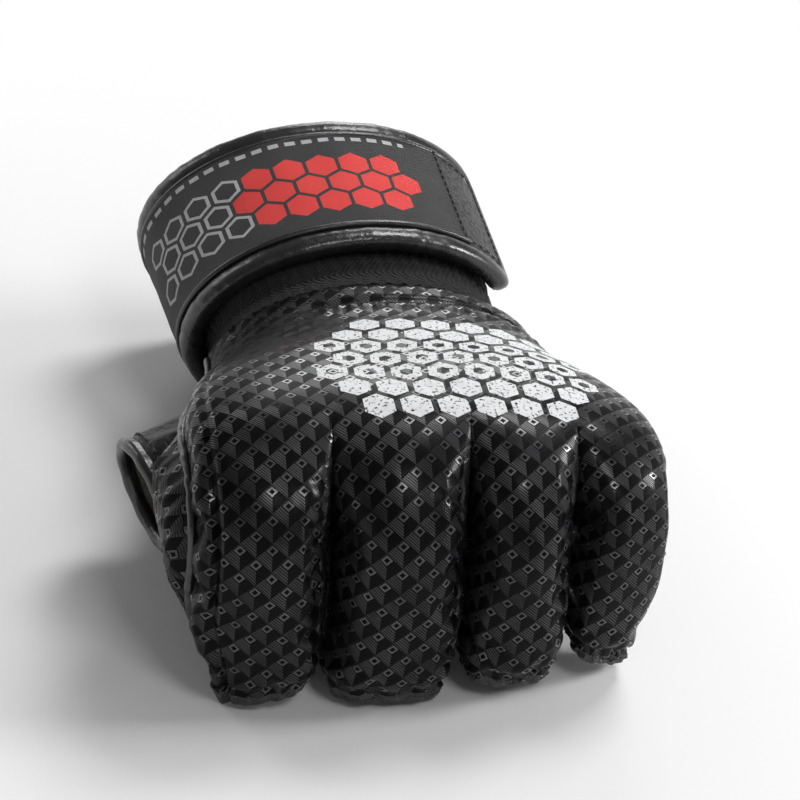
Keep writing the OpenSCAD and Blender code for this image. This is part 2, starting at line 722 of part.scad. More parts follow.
translate(stand_offset) {
  back_cover();
  back_foam();
  back_lining();
  knuckle_lining();
  radial_panel();
  ulnar_panel();
  palm_panel();
  palm_binding();
  radial_gusset();
  ulnar_gusset();
  thumb_loop();
  thumb_binding();
  wrist_neck();
  cuff();
  loop_patch();
  for (i = [0 : 3]) {
    knuckle_cover(i);
    knuckle_foam(i);
    finger_cover(i);
    finger_foam(i);
    finger_loop(i);
    finger_hem(i);
  }
  strap_band(strap_root, anchor_to);  // anchor_band
  front_edge(strap_root, anchor_to);  // anchor_front_edge
  rear_edge(strap_root, anchor_to);  // anchor_rear_edge
  strap_band(side_from, side_to);  // side_band
  front_edge(side_from, side_to);  // side_front_edge
  rear_edge(side_from, side_to);  // side_rear_edge
  woven_label(side_from, side_to);  // side_label
  strap_band(back_from, back_to);  // back_band
  front_edge(back_from, back_to);  // back_front_edge
  rear_edge(back_from, back_to);  // back_rear_edge
  woven_label(back_from, back_to);  // back_label
  tab_band();
  tab_edge();
  tab_hook();
}
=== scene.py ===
"""A left grappling glove, curled closed: leather, foam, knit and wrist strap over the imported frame."""
import json
import logging
import math
from dataclasses import dataclass, field
from enum import Enum
from typing import Callable, Optional, Sequence, Union

import bpy
import numpy as np
from mathutils import Matrix, Vector


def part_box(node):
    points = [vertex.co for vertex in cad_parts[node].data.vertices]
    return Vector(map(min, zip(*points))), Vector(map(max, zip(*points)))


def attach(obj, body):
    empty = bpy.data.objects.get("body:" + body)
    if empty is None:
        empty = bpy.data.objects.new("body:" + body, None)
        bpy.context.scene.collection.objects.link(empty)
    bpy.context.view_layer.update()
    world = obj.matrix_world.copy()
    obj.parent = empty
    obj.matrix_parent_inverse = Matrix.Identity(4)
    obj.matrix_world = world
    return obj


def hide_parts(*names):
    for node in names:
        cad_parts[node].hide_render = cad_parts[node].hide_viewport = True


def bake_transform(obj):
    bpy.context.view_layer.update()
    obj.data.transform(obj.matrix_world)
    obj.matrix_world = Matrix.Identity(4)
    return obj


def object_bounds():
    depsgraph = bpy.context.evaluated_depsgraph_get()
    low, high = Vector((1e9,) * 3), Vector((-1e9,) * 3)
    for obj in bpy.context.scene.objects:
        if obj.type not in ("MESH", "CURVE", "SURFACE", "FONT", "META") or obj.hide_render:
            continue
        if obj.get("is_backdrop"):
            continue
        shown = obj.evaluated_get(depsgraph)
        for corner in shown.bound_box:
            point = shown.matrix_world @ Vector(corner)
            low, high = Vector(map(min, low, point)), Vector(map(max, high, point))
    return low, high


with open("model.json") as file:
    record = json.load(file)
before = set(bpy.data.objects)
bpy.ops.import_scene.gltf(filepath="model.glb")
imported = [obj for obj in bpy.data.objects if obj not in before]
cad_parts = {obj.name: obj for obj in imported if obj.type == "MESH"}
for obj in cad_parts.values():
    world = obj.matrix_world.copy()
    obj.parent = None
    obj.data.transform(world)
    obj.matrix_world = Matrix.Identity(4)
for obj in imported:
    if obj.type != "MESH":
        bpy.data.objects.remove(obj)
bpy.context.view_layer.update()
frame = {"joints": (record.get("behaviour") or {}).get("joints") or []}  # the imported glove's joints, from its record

MM = 0.001
TINY = 1e-9
LAY = "lay"
Array = np.ndarray
Number = Union[float, np.ndarray]
Pair = tuple[float, float]
Triple = tuple[float, float, float]
Place = Colour = Triple
log = logging.getLogger("glove")


class Named(Enum):
    """A choice whose name starts the names of its nodes and pieces."""

    @property
    def label(self) -> str:
        """The name as the frame spells it."""
        return self.name.lower()


class Finger(Named):
    """The four fingers, in order from the thumb side."""

    INDEX = 0
    MIDDLE = 1
    RING = 2
    LITTLE = 3

    @property
    def body(self) -> str:
        """The body that the finger's pieces ride on."""
        return f"{self.label}_finger"

    def outer(self, offset: Array) -> Array:
        """Whether a place to one side of the finger's middle faces no other finger."""
        return (self is Finger.INDEX) & (offset < 0) | (self is Finger.LITTLE) & (offset > 0)


class Side(Named):
    """The two long edges of the padded back."""

    THUMB = -1
    LITTLE = 1

    @property
    def label(self) -> str:
        """Start of the names of the pieces on this side."""
        return f"{super().label}_side"

    @property
    def finger(self) -> Finger:
        """The finger on this side."""
        return Finger.INDEX if self is Side.THUMB else Finger.LITTLE


# Numbers


def smooth(share: Array) -> Array:
    """Eases a share from 0 to 1, and holds it outside them."""
    held = np.clip(share, 0.0, 1.0)
    return held * held * (3.0 - 2.0 * held)


def mix(low: Number, high: Number, share: Number) -> Array:
    """Goes from low to high as the share goes from 0 to 1."""
    return low + (high - low) * share


def across(turn: Array, power: Number) -> Array:
    """Distance across a superellipse quarter, for a turn from -1 to 1."""
    return np.sign(turn) * np.sin(np.pi / 2 * np.abs(turn)) ** (2.0 / power)


def fall(turn: Array, power: Number) -> Array:
    """Fall from the crest of a superellipse quarter, for a turn from -1 to 1."""
    return 1.0 - np.clip(np.cos(np.pi / 2 * np.abs(turn)), 0.0, 1.0) ** (2.0 / power)


def fade(turn: Array) -> Array:
    """Share of a layer's depth that is left towards the pad's edges."""
    return np.sqrt(np.clip(np.cos(np.pi / 2 * np.abs(turn)), 0.0, 1.0))


def power_circle(angle: Number, power: float) -> tuple[Array, Array]:
    """Both coordinates of a superellipse at an angle in degrees."""
    turn = np.radians(np.asarray(angle, float))
    return tuple(np.sign(part) * np.abs(part) ** (2 / power) for part in (np.cos(turn), np.sin(turn)))


def unit(vector: Array) -> Array:
    """The vector at length 1."""
    return vector / np.maximum(np.linalg.norm(vector, axis=-1, keepdims=True), TINY)


def matched(*parts: Number) -> list[Array]:
    """The parts as arrays of one shape."""
    return np.broadcast_arrays(*(np.asarray(part, float) for part in parts))


def packed(*parts: Number) -> Array:
    """Points from their coordinates, whose shapes may differ."""
    return np.stack(np.broadcast_arrays(*parts), axis=-1)


def closed(rows: Array) -> Array:
    """The rows, with the first one again at their end."""
    return np.concatenate([rows, rows[:1]])


def round_steps(count: int, whole: float = math.tau) -> Array:
    """Places evenly apart round a whole turn."""
    return np.arange(count) * whole / count


def waves(u: Number, v: Number, pitch: float, seed: int) -> Array:
    """A smooth uneven field between about -1 and 1, the same on every run.

    Args:
        u: Place across, in millimetres.
        v: Place along, in millimetres.
        pitch: Usual distance between two rises, in millimetres.
        seed: Number that picks the field.

    Returns:
        The field at each place.
    """
    draw = np.random.default_rng(seed)
    count, rates = 8, (0.7, 1.5)
    total = np.zeros(np.broadcast(u, v).shape)
    for _ in range(count):
        way, start = draw.uniform(0.0, math.tau, 2)
        rate = math.tau * draw.uniform(*rates) / pitch
        total = total + np.sin(rate * (u * math.cos(way) + v * math.sin(way)) + start)
    return total / math.sqrt(count)


def creases(u: Number, v: Number, pitch: float, seed: int, sharpness: float = 1.4) -> Array:
    """Sharp folds between 0 and 1 that wander like those in creased leather."""
    return np.clip(1.0 - sharpness * np.abs(waves(u, v, pitch, seed)), 0.0, 1.0)


@dataclass(frozen=True)
class Ramp:
    """A smooth rise from 0 to 1 that starts at a place and takes a run; a negative run turns it about."""

    start: float
    run: float

    def at(self, place: Number) -> Array:
        """Share reached at a place."""
        return smooth((place - self.start) / self.run)


@dataclass(frozen=True)
class Ridge:
    """A soft ridge over a line, or a groove where its height is negative."""

    height: float
    width: float

    def at(self, distance: Number) -> Array:
        """Height at a distance from the line."""
        return self.height * np.exp(-((distance / self.width) ** 2))


@dataclass(frozen=True)
class Ruffle:
    """An uneven surface: its height, the usual pitch of its rises and the seed that picks it."""

    height: float
    pitch: float
    seed: int

    def at(self, u: Number, v: Number = 0.0, pick: int = 0) -> Array:
        """Height at a place across and along; pick shifts the seed."""
        return self.height * waves(u, v, self.pitch, self.seed + pick)


def path_length(path: Array) -> Array:
    """Length along a path at each of its points, from its first."""
    step = np.linalg.norm(np.diff(path, axis=-2), axis=-1)
    return np.concatenate([np.zeros(step.shape[:-1] + (1,)), np.cumsum(step, axis=-1)], axis=-1)


def even_turns(curve: Callable[[Array], Array], count: int, samples: int = 6001, crowding: int = 4) -> Array:
    """Turns from -1 to 1 at which a curve's points lie evenly apart.

    Args:
        curve: Gives the points for a row of turns.
        count: Number of points.
        samples: Number of points at which the curve is measured.
        crowding: Power that crowds those points at the crest.

    Returns:
        The turns.
    """
    share = np.linspace(-1.0, 1.0, samples)
    turns = np.sign(share) * np.abs(share) ** crowding
    length = path_length(curve(turns))
    return np.interp(np.linspace(0.0, length[-1], count), length, turns)


def across_lay(grid: Array, along: Array, zero: int = 0) -> Array:
    """Lay of a grid: length across each row from one column, and a given length along.

    Args:
        grid: Points, as rows by columns.
        along: Length along at each row, or at each point.
        zero: Column from which the length across is measured.

    Returns:
        Two lengths at each point, in millimetres.
    """
    length = path_length(grid)
    return packed(length - length[:, zero : zero + 1], along)


def round_lay(outer: Array) -> Array:
    """Lay of a looped grid: length round it and length along it, with the first row again at the end."""
    ringed = closed(outer)
    return packed(path_length(np.swapaxes(ringed, 0, 1)).T, path_length(ringed))


def raised(outer: Array, inner: Array, height: Array, looped: bool = False) -> Array:
    """Moves an outer face off its inner face, along its own normals.

    Args:
        outer: Points of the outer face.
        inner: Points of the inner face, which say where outwards is.
        height: Distance to move each point, in millimetres.
        looped: Whether the last row joins the first.

    Returns:
        The moved outer face.
    """
    rows = np.concatenate([outer[-1:], outer, outer[:1]]) if looped else outer
    along = np.gradient(rows, axis=0)
    along = along[1:-1] if looped else along
    normal = unit(np.cross(along, np.gradient(outer, axis=1)))
    normal = normal * np.sign(np.sum(normal * (outer - inner)) or 1.0)
    return outer + normal * height[..., None]


def tube(path: Array, radius: Number, up: Sequence[float], sides: int = 12) -> Array:
    """Rings of points round a path.

    Args:
        path: Points of the middle line.
        radius: Radius, alike all over or at each point of the path.
        up: A way that the path never runs along.
        sides: Points in a ring.

    Returns:
        The rings, as path points by sides.
    """
    tangent = unit(np.gradient(path, axis=0))
    side = unit(np.cross(tangent, np.array(up, float)))
    rise = np.cross(side, tangent)
    angle = round_steps(sides)[:, None]
    reach = np.broadcast_to(np.asarray(radius, float), len(path))[:, None, None]
    return path[:, None] + reach * (side[:, None] * np.cos(angle) + rise[:, None] * np.sin(angle))


# The glove's form


@dataclass(frozen=True)
class GloveForm:
    """The glove's surfaces, repeated from its solids, with sizes in millimetres from the knuckles' bending line.

    A place on the pad has a turn t, from -1 at its thumb edge to 1 at its other edge, and a length q along it, which
    is negative behind the bending line. A place round the shell or the wrist ring has an angle in degrees.
    """

    knuckle_width: float = 110.0
    crest_offset: float = 48.0
    crest_x: float = -10.5
    knuckle_radius: float = 32.5
    hinge_height: float = 33.5
    thumb_side_drop: float = 14.0
    little_side_drop: float = 15.0
    thumb_edge_square: float = 4.5
    edge_round: float = 2.0
    back_length: float = 68.5
    wrist_x: float = -1.5
    wrist_width: float = 81.0
    wrist_drop: float = 22.0
    wrist_fall: float = 12.0
    finger_widths: tuple[float, ...] = (30.5, 31.5, 25.5)
    hem_rises: tuple[float, ...] = (2.0, 0.0, 1.0, 6.0)
    hem_ends: tuple[Pair, ...] = ((-1.2, 4.0), (0.6, 0.2), (3.2, 1.6), (6.6, 0.2))
    hem_height: float = 4.0
    groove_depth: float = 17.0
    groove_gap: float = 2.5
    groove: Ramp = Ramp(4.0, 36.0)
    pad_gap: float = 1.2
    parting: Ramp = Ramp(8.0, 36.0)
    hem_gap: float = 1.4
    thumb_draw: float = 5.5
    little_draw: float = 4.0
    draw: Ramp = Ramp(56.0, 27.0)
    pad_round: float = 2.2
    pad_square: float = 4.2
    squaring: Ramp = Ramp(42.0, 36.0)
    bend_start: float = 8.0
    bend_run: float = 34.0
    cover: float = 1.2
    foam: float = 11.5
    foam_side: float = 5.0
    layer_gap: float = 0.3
    seam_gap: float = 0.4
    lining: float = 1.0
    loop_wall: float = 1.6
    finger_depth: float = 19.0
    loop_cutback: float = 14.0
    loop_top_drop: float = 4.0
    loop_square: float = 6.0
    lean_reach: float = 0.7
    panel: float = 1.6
    shell_square: float = 4.0
    bulge: float = 5.5
    bulge_start: Ramp = Ramp(0.0, 9.0)
    bulge_end: Ramp = Ramp(34.0, -26.0)
    palm_rise: float = 19.0
    heel_rise: float = 8.0
    palm_bulge: float = 8.0
    palm_bulge_side: Ramp = Ramp(0.5, -1.25)
    thumb_radius: float = 12.5
    thumb_flare: float = 1.0
    thumb_length: float = 10.0
    thumb_back: float = 28.0
    thumb_drop: float = 19.5
    thumb_slope: float = 15.0
    thumb_turn: float = 16.0
    strap_width: float = 48.5
    strap_half_width: float = 42.5
    strap_half_height: float = 29.0
    strap_flare: float = 2.0
    strap_thickness: float = 3.2
    strap_shift: float = 1.8
    strap_gap: float = 12.5
    strap_tilt: float = 6.4
    strap_turn: float = 4.8
    ring_span: Pair = (-360.0, 540.0)
    ring_samples: int = 3601
    ring_top: float = 90.0
    edge_width: float = 5.5
    edge_proud: float = 1.0
    cuff_face: float = 5.7
    cuff_wall: float = 1.8

    @property
    def thumb_edge_x(self) -> float:
        """Where the pad's thumb edge lies."""
        return self.crest_x - self.crest_offset

    @property
    def borders(self) -> Array:
        """Edges of the four fingers' shares of the pad."""
        inner = self.thumb_edge_x + np.cumsum((0.0, *self.finger_widths))
        return np.append(inner, self.thumb_edge_x + self.knuckle_width)

    @property
    def quarter(self) -> float:
        """Length of the pad's quarter turn over the knuckles."""
        return self.knuckle_radius * math.pi / 2

    @property
    def bend_end(self) -> float:
        """Length along the pad at which it is all on the finger."""
        return self.bend_start + self.bend_run

    @property
    def foam_back(self) -> float:
        """Depth of the foam's back under the cover's face."""
        return self.cover + self.layer_gap + self.foam

    @property
    def loop_half_depth(self) -> float:
        """Half of a finger loop's outside depth."""
        return self.loop_wall + self.finger_depth / 2

    @property
    def edge_share(self) -> float:
        """Share of the strap's width that a rolled edge takes."""
        return self.edge_width / self.strap_width

    @property
    def origin(self) -> Array:
        """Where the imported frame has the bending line's own origin, in millimetres."""
        hinge = next(joint for joint in frame["joints"] if joint["name"] == "middle_flex")["pos_m"]
        thumb_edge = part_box("back_cover")[0][0]
        return np.array([thumb_edge / MM - self.thumb_edge_x, hinge[1] / MM, hinge[2] / MM - self.hinge_height])

    def place(self, points: Array) -> Array:
        """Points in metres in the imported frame."""
        return (np.asarray(points, float) + self.origin) * MM

    def bend(self, x: Number, q: Number, depth: Number, wrist: Number = 0.0) -> Array:
        """Bends places of the pad over the knuckles.

        Args:
            x: Place across.
            q: Length along.
            depth: Depth under the crest.
            wrist: Share of the wrist's fall.

        Returns:
            The points.
        """
        angle = np.clip(q / self.knuckle_radius, 0.0, math.pi / 2)
        radius = self.knuckle_radius - depth
        y = np.maximum(-q, 0.0) - radius * np.sin(angle)
        z = self.hinge_height + radius * np.cos(angle) - np.maximum(q - self.quarter, 0.0) - self.wrist_fall * wrist
        return packed(x, y, z)

    def edge_sizes(self, thumb: Array) -> tuple[Array, Array, Array]:
        """Sizes of the pad on either side of its crest.

        Args:
            thumb: Whether each place lies on the thumb's side.

        Returns:
            The reach from the crest, the squareness and the drop.
        """
        sizes = ((self.crest_offset, self.knuckle_width - self.crest_offset),
                 (self.thumb_edge_square, self.edge_round), (self.thumb_side_drop, self.little_side_drop))
        return tuple(np.where(thumb, *pair) for pair in sizes)

    def back_point(self, t: Number, q: Number, depth: float = 0.0, side: float = 0.0, sink: Number = 0.0) -> Array:
        """Points of the padded back.

        Args:
            t: Turn across.
            q: Length along.
            depth: Depth under the face, which fades towards the edges.
            side: Distance in from the edges.
            sink: Further depth at each place.

        Returns:
            The points.
        """
        t, q = matched(t, q)
        wrist = smooth(-q / self.back_length)
        half, square, drop = self.edge_sizes(t < 0)
        knuckle_x = self.crest_x + (half - side) * across(t, square)
        end_x = self.wrist_x + (self.wrist_width / 2 - side) * across(t, self.edge_round)
        lower = mix(drop * fall(t, square), self.wrist_drop * fall(t, self.edge_round), wrist)
        return self.bend(mix(knuckle_x, end_x, wrist), q, lower + depth * fade(t) + sink, wrist)

    def crest_fall(self, x: Number) -> Array:
        """Fall of the knuckles' crest.

        Args:
            x: Place across.

        Returns:
            The fall at each place.
        """
        half, square, drop = self.edge_sizes(np.asarray(x) < self.crest_x)
        reach = np.minimum(np.abs(x - self.crest_x) / half, 1.0)
        return drop * (1.0 - np.maximum(1.0 - reach**square, 0.0) ** (1.0 / square))

    def share_of(self, finger: Finger, gap: Number) -> tuple[Array, Array]:
        """A finger's share of the knuckles.

        Args:
            finger: The finger.
            gap: Gap to a neighbour, of which half is taken off.

        Returns:
            Its middle and its half width.
        """
        low = self.borders[finger.value] + (0.0 if finger is Finger.INDEX else gap / 2)
        high = self.borders[finger.value + 1] - (0.0 if finger is Finger.LITTLE else gap / 2)
        return (low + high) / 2, (high - low) / 2

    def pad_middle(self, finger: Finger, q: Number, drawn: bool = True) -> tuple[Array, Array]:
        """Middle and half width of a finger's pad, whose sides part from the bend's start on and draw in to its hem.

        Args:
            finger: The finger.
            q: Length along.
            drawn: Whether the pad's two outer edges draw in as well.

        Returns:
            The middle and the half width at each length.
        """
        share = self.draw.at(q)
        middle, half = self.share_of(finger, self.pad_gap * self.parting.at(q) + self.hem_gap * share)
        outer = {Finger.INDEX: self.thumb_draw / 2, Finger.LITTLE: -self.little_draw / 2}.get(finger, 0.0) * drawn
        return middle + outer * share, half - abs(outer) * share

    def pad_power(self, q: Number) -> Array:
        """Squareness of a finger pad across, which grows towards its hem."""
        return mix(self.pad_round, self.pad_square, self.squaring.at(q))

    def groove_at(self, x: Array, q: Array) -> Array:
        """Depth of the grooves where the padded back runs into the fingers.

        Args:
            x: Place across.
            q: Length along.

        Returns:
            The depth at each place.
        """
        total = np.zeros(np.broadcast(x, q).shape)
        for finger in Finger:
            middle, half = self.pad_middle(finger, self.bend_start)
            offset = x - middle
            reach = np.clip(np.abs(offset) / half, 0.0, 1.0)
            turn = 2 / math.pi * np.arcsin(reach ** (self.pad_round / 2))
            inside = (np.abs(offset) <= half) & ~finger.outer(offset)
            total = total + np.where(inside, fall(turn, self.pad_round), 0.0)
        return self.groove_depth * self.groove.at(q) * total

    def pad_point(self, finger: Finger, t: Number, q: Number, sink: Number = 0.0) -> Array:
        """Points of a finger pad's face.

        Args:
            finger: The finger.
            t: Turn across the finger's own pad.
            q: Length along.
            sink: Further depth at each place.

        Returns:
            The points.
        """
        t, q = matched(t, q)
        power = self.pad_power(q)
        x, plain_x = (middle + across(t, power) * half
                      for middle, half in (self.pad_middle(finger, q), self.pad_middle(finger, q, drawn=False)))
        groove = np.where(finger.outer(t), 0.0, self.groove_depth * self.groove.at(q) * fall(t, power))
        return self.bend(x, q, self.crest_fall(plain_x) + groove + sink)

    def loop_size(self, finger: Finger) -> Triple:
        """Size of a finger loop.

        Args:
            finger: The finger.

        Returns:
            Its middle, its half width and its lean.
        """
        middle, half = self.share_of(finger, self.groove_gap)
        half = half - self.cover - self.layer_gap
        reach = self.lean_reach * half
        lean = (self.crest_fall(middle + reach) - self.crest_fall(middle - reach)) / (2 * reach)
        return float(middle), float(half), float(lean)

    def loop_depth(self, finger: Finger, x: Array) -> Array:
        """Depth of a finger loop's front under the crest."""
        middle, _, lean = self.loop_size(finger)
        return self.crest_fall(middle) + lean * (x - middle) + self.foam_back + self.layer_gap

    def pad_back_point(self, finger: Finger, t: Number, q: Number, side: float) -> Array:
        """Points of the flat back of a finger pad's foam.

        Args:
            finger: The finger.
            t: Turn across the finger's own pad.
            q: Length along.
            side: Distance in from the pad's edges.

        Returns:
            The points.
        """
        t, q = matched(t, q)
        middle, half = self.pad_middle(finger, q)
        x = middle + across(t, self.pad_power(q)) * (half - side)
        return self.bend(x, q, self.loop_depth(finger, x) - self.layer_gap)

    def hem_level(self, finger: Finger, t: Number) -> Array:
        """Height of a hem's lower edge, which slants from one side of the finger to the other."""
        low, high = self.hem_ends[finger.value]
        return mix(low, high, (across(np.asarray(t, float), self.pad_square) + 1.0) / 2.0)

    def pad_end(self, finger: Finger, t: Number = 0.0) -> Array:
        """Length along the pad at which a finger's pad ends, above its hem."""
        return self.hinge_height + self.quarter - self.hem_level(finger, t) - self.hem_height

    def loop_point(self, finger: Finger, angle: Number, level: Number, inset: float) -> Array:
        """Points of a finger loop.

        Args:
            finger: The finger.
            angle: Angle round the loop.
            level: 0 at the loop's mouth and 1 at its cut-back end.
            inset: Depth under the loop's face.

        Returns:
            The points.
        """
        middle, half, _ = self.loop_size(finger)
        wide, deep = power_circle(angle, self.loop_square)
        x = middle + wide * (half - inset)
        back = self.loop_half_depth + deep * (self.loop_half_depth - inset)
        low = self.hem_rises[finger.value] + self.hem_height + self.seam_gap
        low = low + self.loop_cutback * back / (2 * self.loop_half_depth)
        z = mix(self.hinge_height - self.loop_top_drop, low, level)
        return packed(x, self.loop_depth(finger, x) + back - self.knuckle_radius, z)

    def palm_level(self, back: Array, bulged: Number) -> Array:
        """Height of the palm.

        Args:
            back: Distance behind the bending line.
            bulged: Share of the bulge below the thumb.

        Returns:
            The height at each place.
        """
        share = back / self.back_length
        sunk = self.palm_bulge * bulged * np.sin(math.pi * np.minimum(share, 1.0))
        return mix(self.palm_rise, self.heel_rise, smooth(share)) - sunk

    def shell_point(self, angle: Number, q: Number, inset: float) -> Array:
        """Points of the shell under the back.

        Args:
            angle: 0 at the little finger's side, 90 in the palm and 180 at the thumb.
            q: Length along.
            inset: Depth under the shell's face.

        Returns:
            The points.
        """
        angle, q = matched(angle, q)
        left, right = (self.back_point(t, q, side=inset) for t in (-1.0, 1.0))
        wide, deep = power_circle(angle, self.shell_square)
        share = (wide + 1.0) / 2.0
        edge = mix(left[..., 2], right[..., 2], share) - self.seam_gap
        floor = self.palm_level(-q, self.palm_bulge_side.at(wide)) + inset
        return packed(mix(left[..., 0], right[..., 0], share), right[..., 1], mix(edge, floor, deep))

    def strap_axes(self) -> tuple[Array, Array, Array, Array]:
        """Axes of the wrist ring.

        Returns:
            The centre of the strap's front edge, and the ways along the wrist, sideways and up.
        """
        tilt, turn = math.radians(self.strap_tilt), math.radians(self.strap_turn)
        along = np.array([-math.sin(turn) * math.cos(tilt), math.cos(turn) * math.cos(tilt), math.sin(tilt)])
        sideways = np.array([math.cos(turn), math.sin(turn), 0.0])
        height = (self.strap_half_height + self.edge_proud) * math.cos(tilt)
        centre = np.array([self.wrist_x - self.strap_shift, self.back_length + self.strap_gap, height])
        return centre, along, sideways, np.cross(sideways, along)

    def ring_point(self, angle: Number, share: Number, lift: Number) -> Array:
        """Points of the wrist ring.

        Args:
            angle: 0 at the little finger's side and 90 on the back.
            share: Share of the strap's width, from its front edge.
            lift: Height over the strap's face.

        Returns:
            The points.
        """
        angle, share, lift = (part[..., None] for part in matched(angle, share, lift))
        centre, along, sideways, up = self.strap_axes()
        turn = np.radians(angle)
        wide = (self.strap_half_width + self.strap_flare * share + lift) * np.cos(turn)
        tall = (self.strap_half_height + self.strap_flare * share / 2 + lift) * np.sin(turn)
        return centre + wide * sideways + tall * up + share * self.strap_width * along

    def ring_length(self, angle: Array) -> Array:
        """Length round the strap from the top of the wrist, growing towards the thumb.

        Args:
            angle: Angle round the wrist.

        Returns:
            The length at each angle.
        """
        dense = np.linspace(*self.ring_span, self.ring_samples)
        length = path_length(self.ring_point(dense, 0.5, 0.0))
        return np.interp(angle, dense, length) - np.interp(self.ring_top, dense, length)

    def rear_end_point(self, angle: Array, gap: float, inset: float) -> Array:
        """Points round the rear end of the padded back and the shell, matched by angle to the wrist ring.

        Args:
            angle: Angle round the wrist.
            gap: Distance behind the padded back.
            inset: Depth under its face.

        Returns:
            The points.
        """
        rear = -self.back_length
        top = self.back_point(np.clip(1.0 - angle / 90.0, -1.0, 1.0), rear, inset, inset)
        palm = self.shell_point(np.clip(360.0 - angle, 0.0, 180.0), rear, inset)
        return np.where((angle <= 180.0)[..., None], top, palm) + np.array([0.0, gap, 0.0])

    def side_bulge(self, below: Array, y: Array) -> Array:
        """How far the soft wall on the thumb side stands out, by the distance below the pad's edge and by y."""
        return self.bulge * self.bulge_start.at(below) * self.bulge_end.at(y)

    def thumb_axes(self) -> tuple[Array, Array, Array, Array]:
        """Axes of the thumb loop.

        Returns:
            Its root, and its ways outwards, across and up.
        """
        slope, turn = math.radians(self.thumb_slope), math.radians(self.thumb_turn)
        out = np.array([-math.cos(slope) * math.cos(turn), -math.cos(slope) * math.sin(turn), -math.sin(slope)])
        side = np.array([-math.sin(turn), math.cos(turn), 0.0])
        edge = self.back_point(-1.0, -self.thumb_back, side=self.panel)
        root = np.array([edge[0], self.thumb_back, edge[2] - self.thumb_drop])
        return root, out, side, np.cross(side, out)

    def thumb_point(self, angle: Number, along: Number, radius: Number) -> Array:
        """Points round the thumb loop.

        Args:
            angle: Angle round it.
            along: Length along it.
            radius: Distance from its axis.

        Returns:
            The points.
        """
        angle, along, radius = (part[..., None] for part in matched(angle, along, radius))
        root, out, side, up = self.thumb_axes()
        turn = np.radians(angle)
        return root + along * out + radius * (np.cos(turn) * side + np.sin(turn) * up)

    def thumb_meets(self, angle: Array, radius: float, tries: int = 8, stride: float = 0.7) -> Array:
        """Length along the thumb at which lines on the loop meet the side of the shell.

        Args:
            angle: Angle of each line round the thumb.
            radius: Radius of the loop.
            tries: Number of steps towards the meeting.
            stride: Share of the miss that each step takes up.

        Returns:
            The lengths.
        """
        out = self.thumb_axes()[1]
        along = np.zeros_like(np.asarray(angle, float))
        for _ in range(tries):
            point = self.thumb_point(angle, along, radius)
            miss = self.shell_side_x(point[..., 1], point[..., 2]) - point[..., 0]
            along = along + stride * miss / out[0]
        return along

    def shell_side_x(self, y: Array, z: Array, deepest: float = 0.98) -> Array:
        """Where the thumb side of the shell lies.

        Args:
            y: Place along the glove.
            z: Height.
            deepest: Share of the shell's depth that counts as its side.

        Returns:
            Its x at each place.
        """
        left, right = (self.back_point(t, -y, side=self.panel) for t in (-1.0, 1.0))
        top = left[..., 2] - self.seam_gap
        floor = self.palm_level(y, 1.0) + self.panel
        sunk = np.clip((top - z) / (top - floor), 0.0, deepest)
        side = (1.0 - sunk**self.shell_square) ** (1.0 / self.shell_square)
        return mix(left[..., 0], right[..., 0], (1.0 - side) / 2)


# Shader expressions


def operator(operation: str, swapped: bool = False) -> Callable[..., "Socket"]:
    """A method for Socket that adds one Math node.

    Args:
        operation: Blender's name for the node's operation.
        swapped: Whether the socket itself comes last, as in 1 - mask.

    Returns:
        The method.
    """

    def operate(self: "Socket", *others: "Value") -> "Socket":
        """Adds the node and gives its result."""
        return self.tree.math(operation, *((*others, self) if swapped else (self, *others)))

    return operate


class Socket:
    """A value in a node tree; arithmetic on it adds Math nodes."""

    def __init__(self, tree: "Tree", link: bpy.types.NodeSocket) -> None:
        """Wraps one output of a node."""
        self.tree, self.link = tree, link

    __add__ = __radd__ = operator("ADD")
    __mul__ = __rmul__ = operator("MULTIPLY")
    __sub__, __rsub__ = operator("SUBTRACT"), operator("SUBTRACT", swapped=True)
    __truediv__, __rtruediv__ = operator("DIVIDE"), operator("DIVIDE", swapped=True)
    __pow__, __rpow__ = operator("POWER"), operator("POWER", swapped=True)
    __mod__, __rmod__ = operator("FLOORED_MODULO"), operator("FLOORED_MODULO", swapped=True)
    __lt__, __gt__, __abs__ = operator("LESS_THAN"), operator("GREATER_THAN"), operator("ABSOLUTE")
    fract, sine = operator("FRACT"), operator("SINE")
    larger, smaller = operator("MAXIMUM"), operator("MINIMUM")

    def zigzag(self) -> "Socket":
        """Falls from 1 to 0 and rises to 1 again in each whole step."""
        return abs(self.fract() - 0.5) * 2.0

    def within(self, low: float, high: float) -> "Socket":
        """1 between two limits, else 0."""
        return (self > low) * (self < high)

    def ease(self, low: float, high: float) -> "Socket":
        """Rises smoothly from 0 at low to 1 at high."""
        inputs = {"Value": self, "From Min": low, "From Max": high}
        return self.tree.value(self.tree.node("ShaderNodeMapRange", {"interpolation_type": "SMOOTHSTEP"}, inputs))


Value = Union[Socket, float]


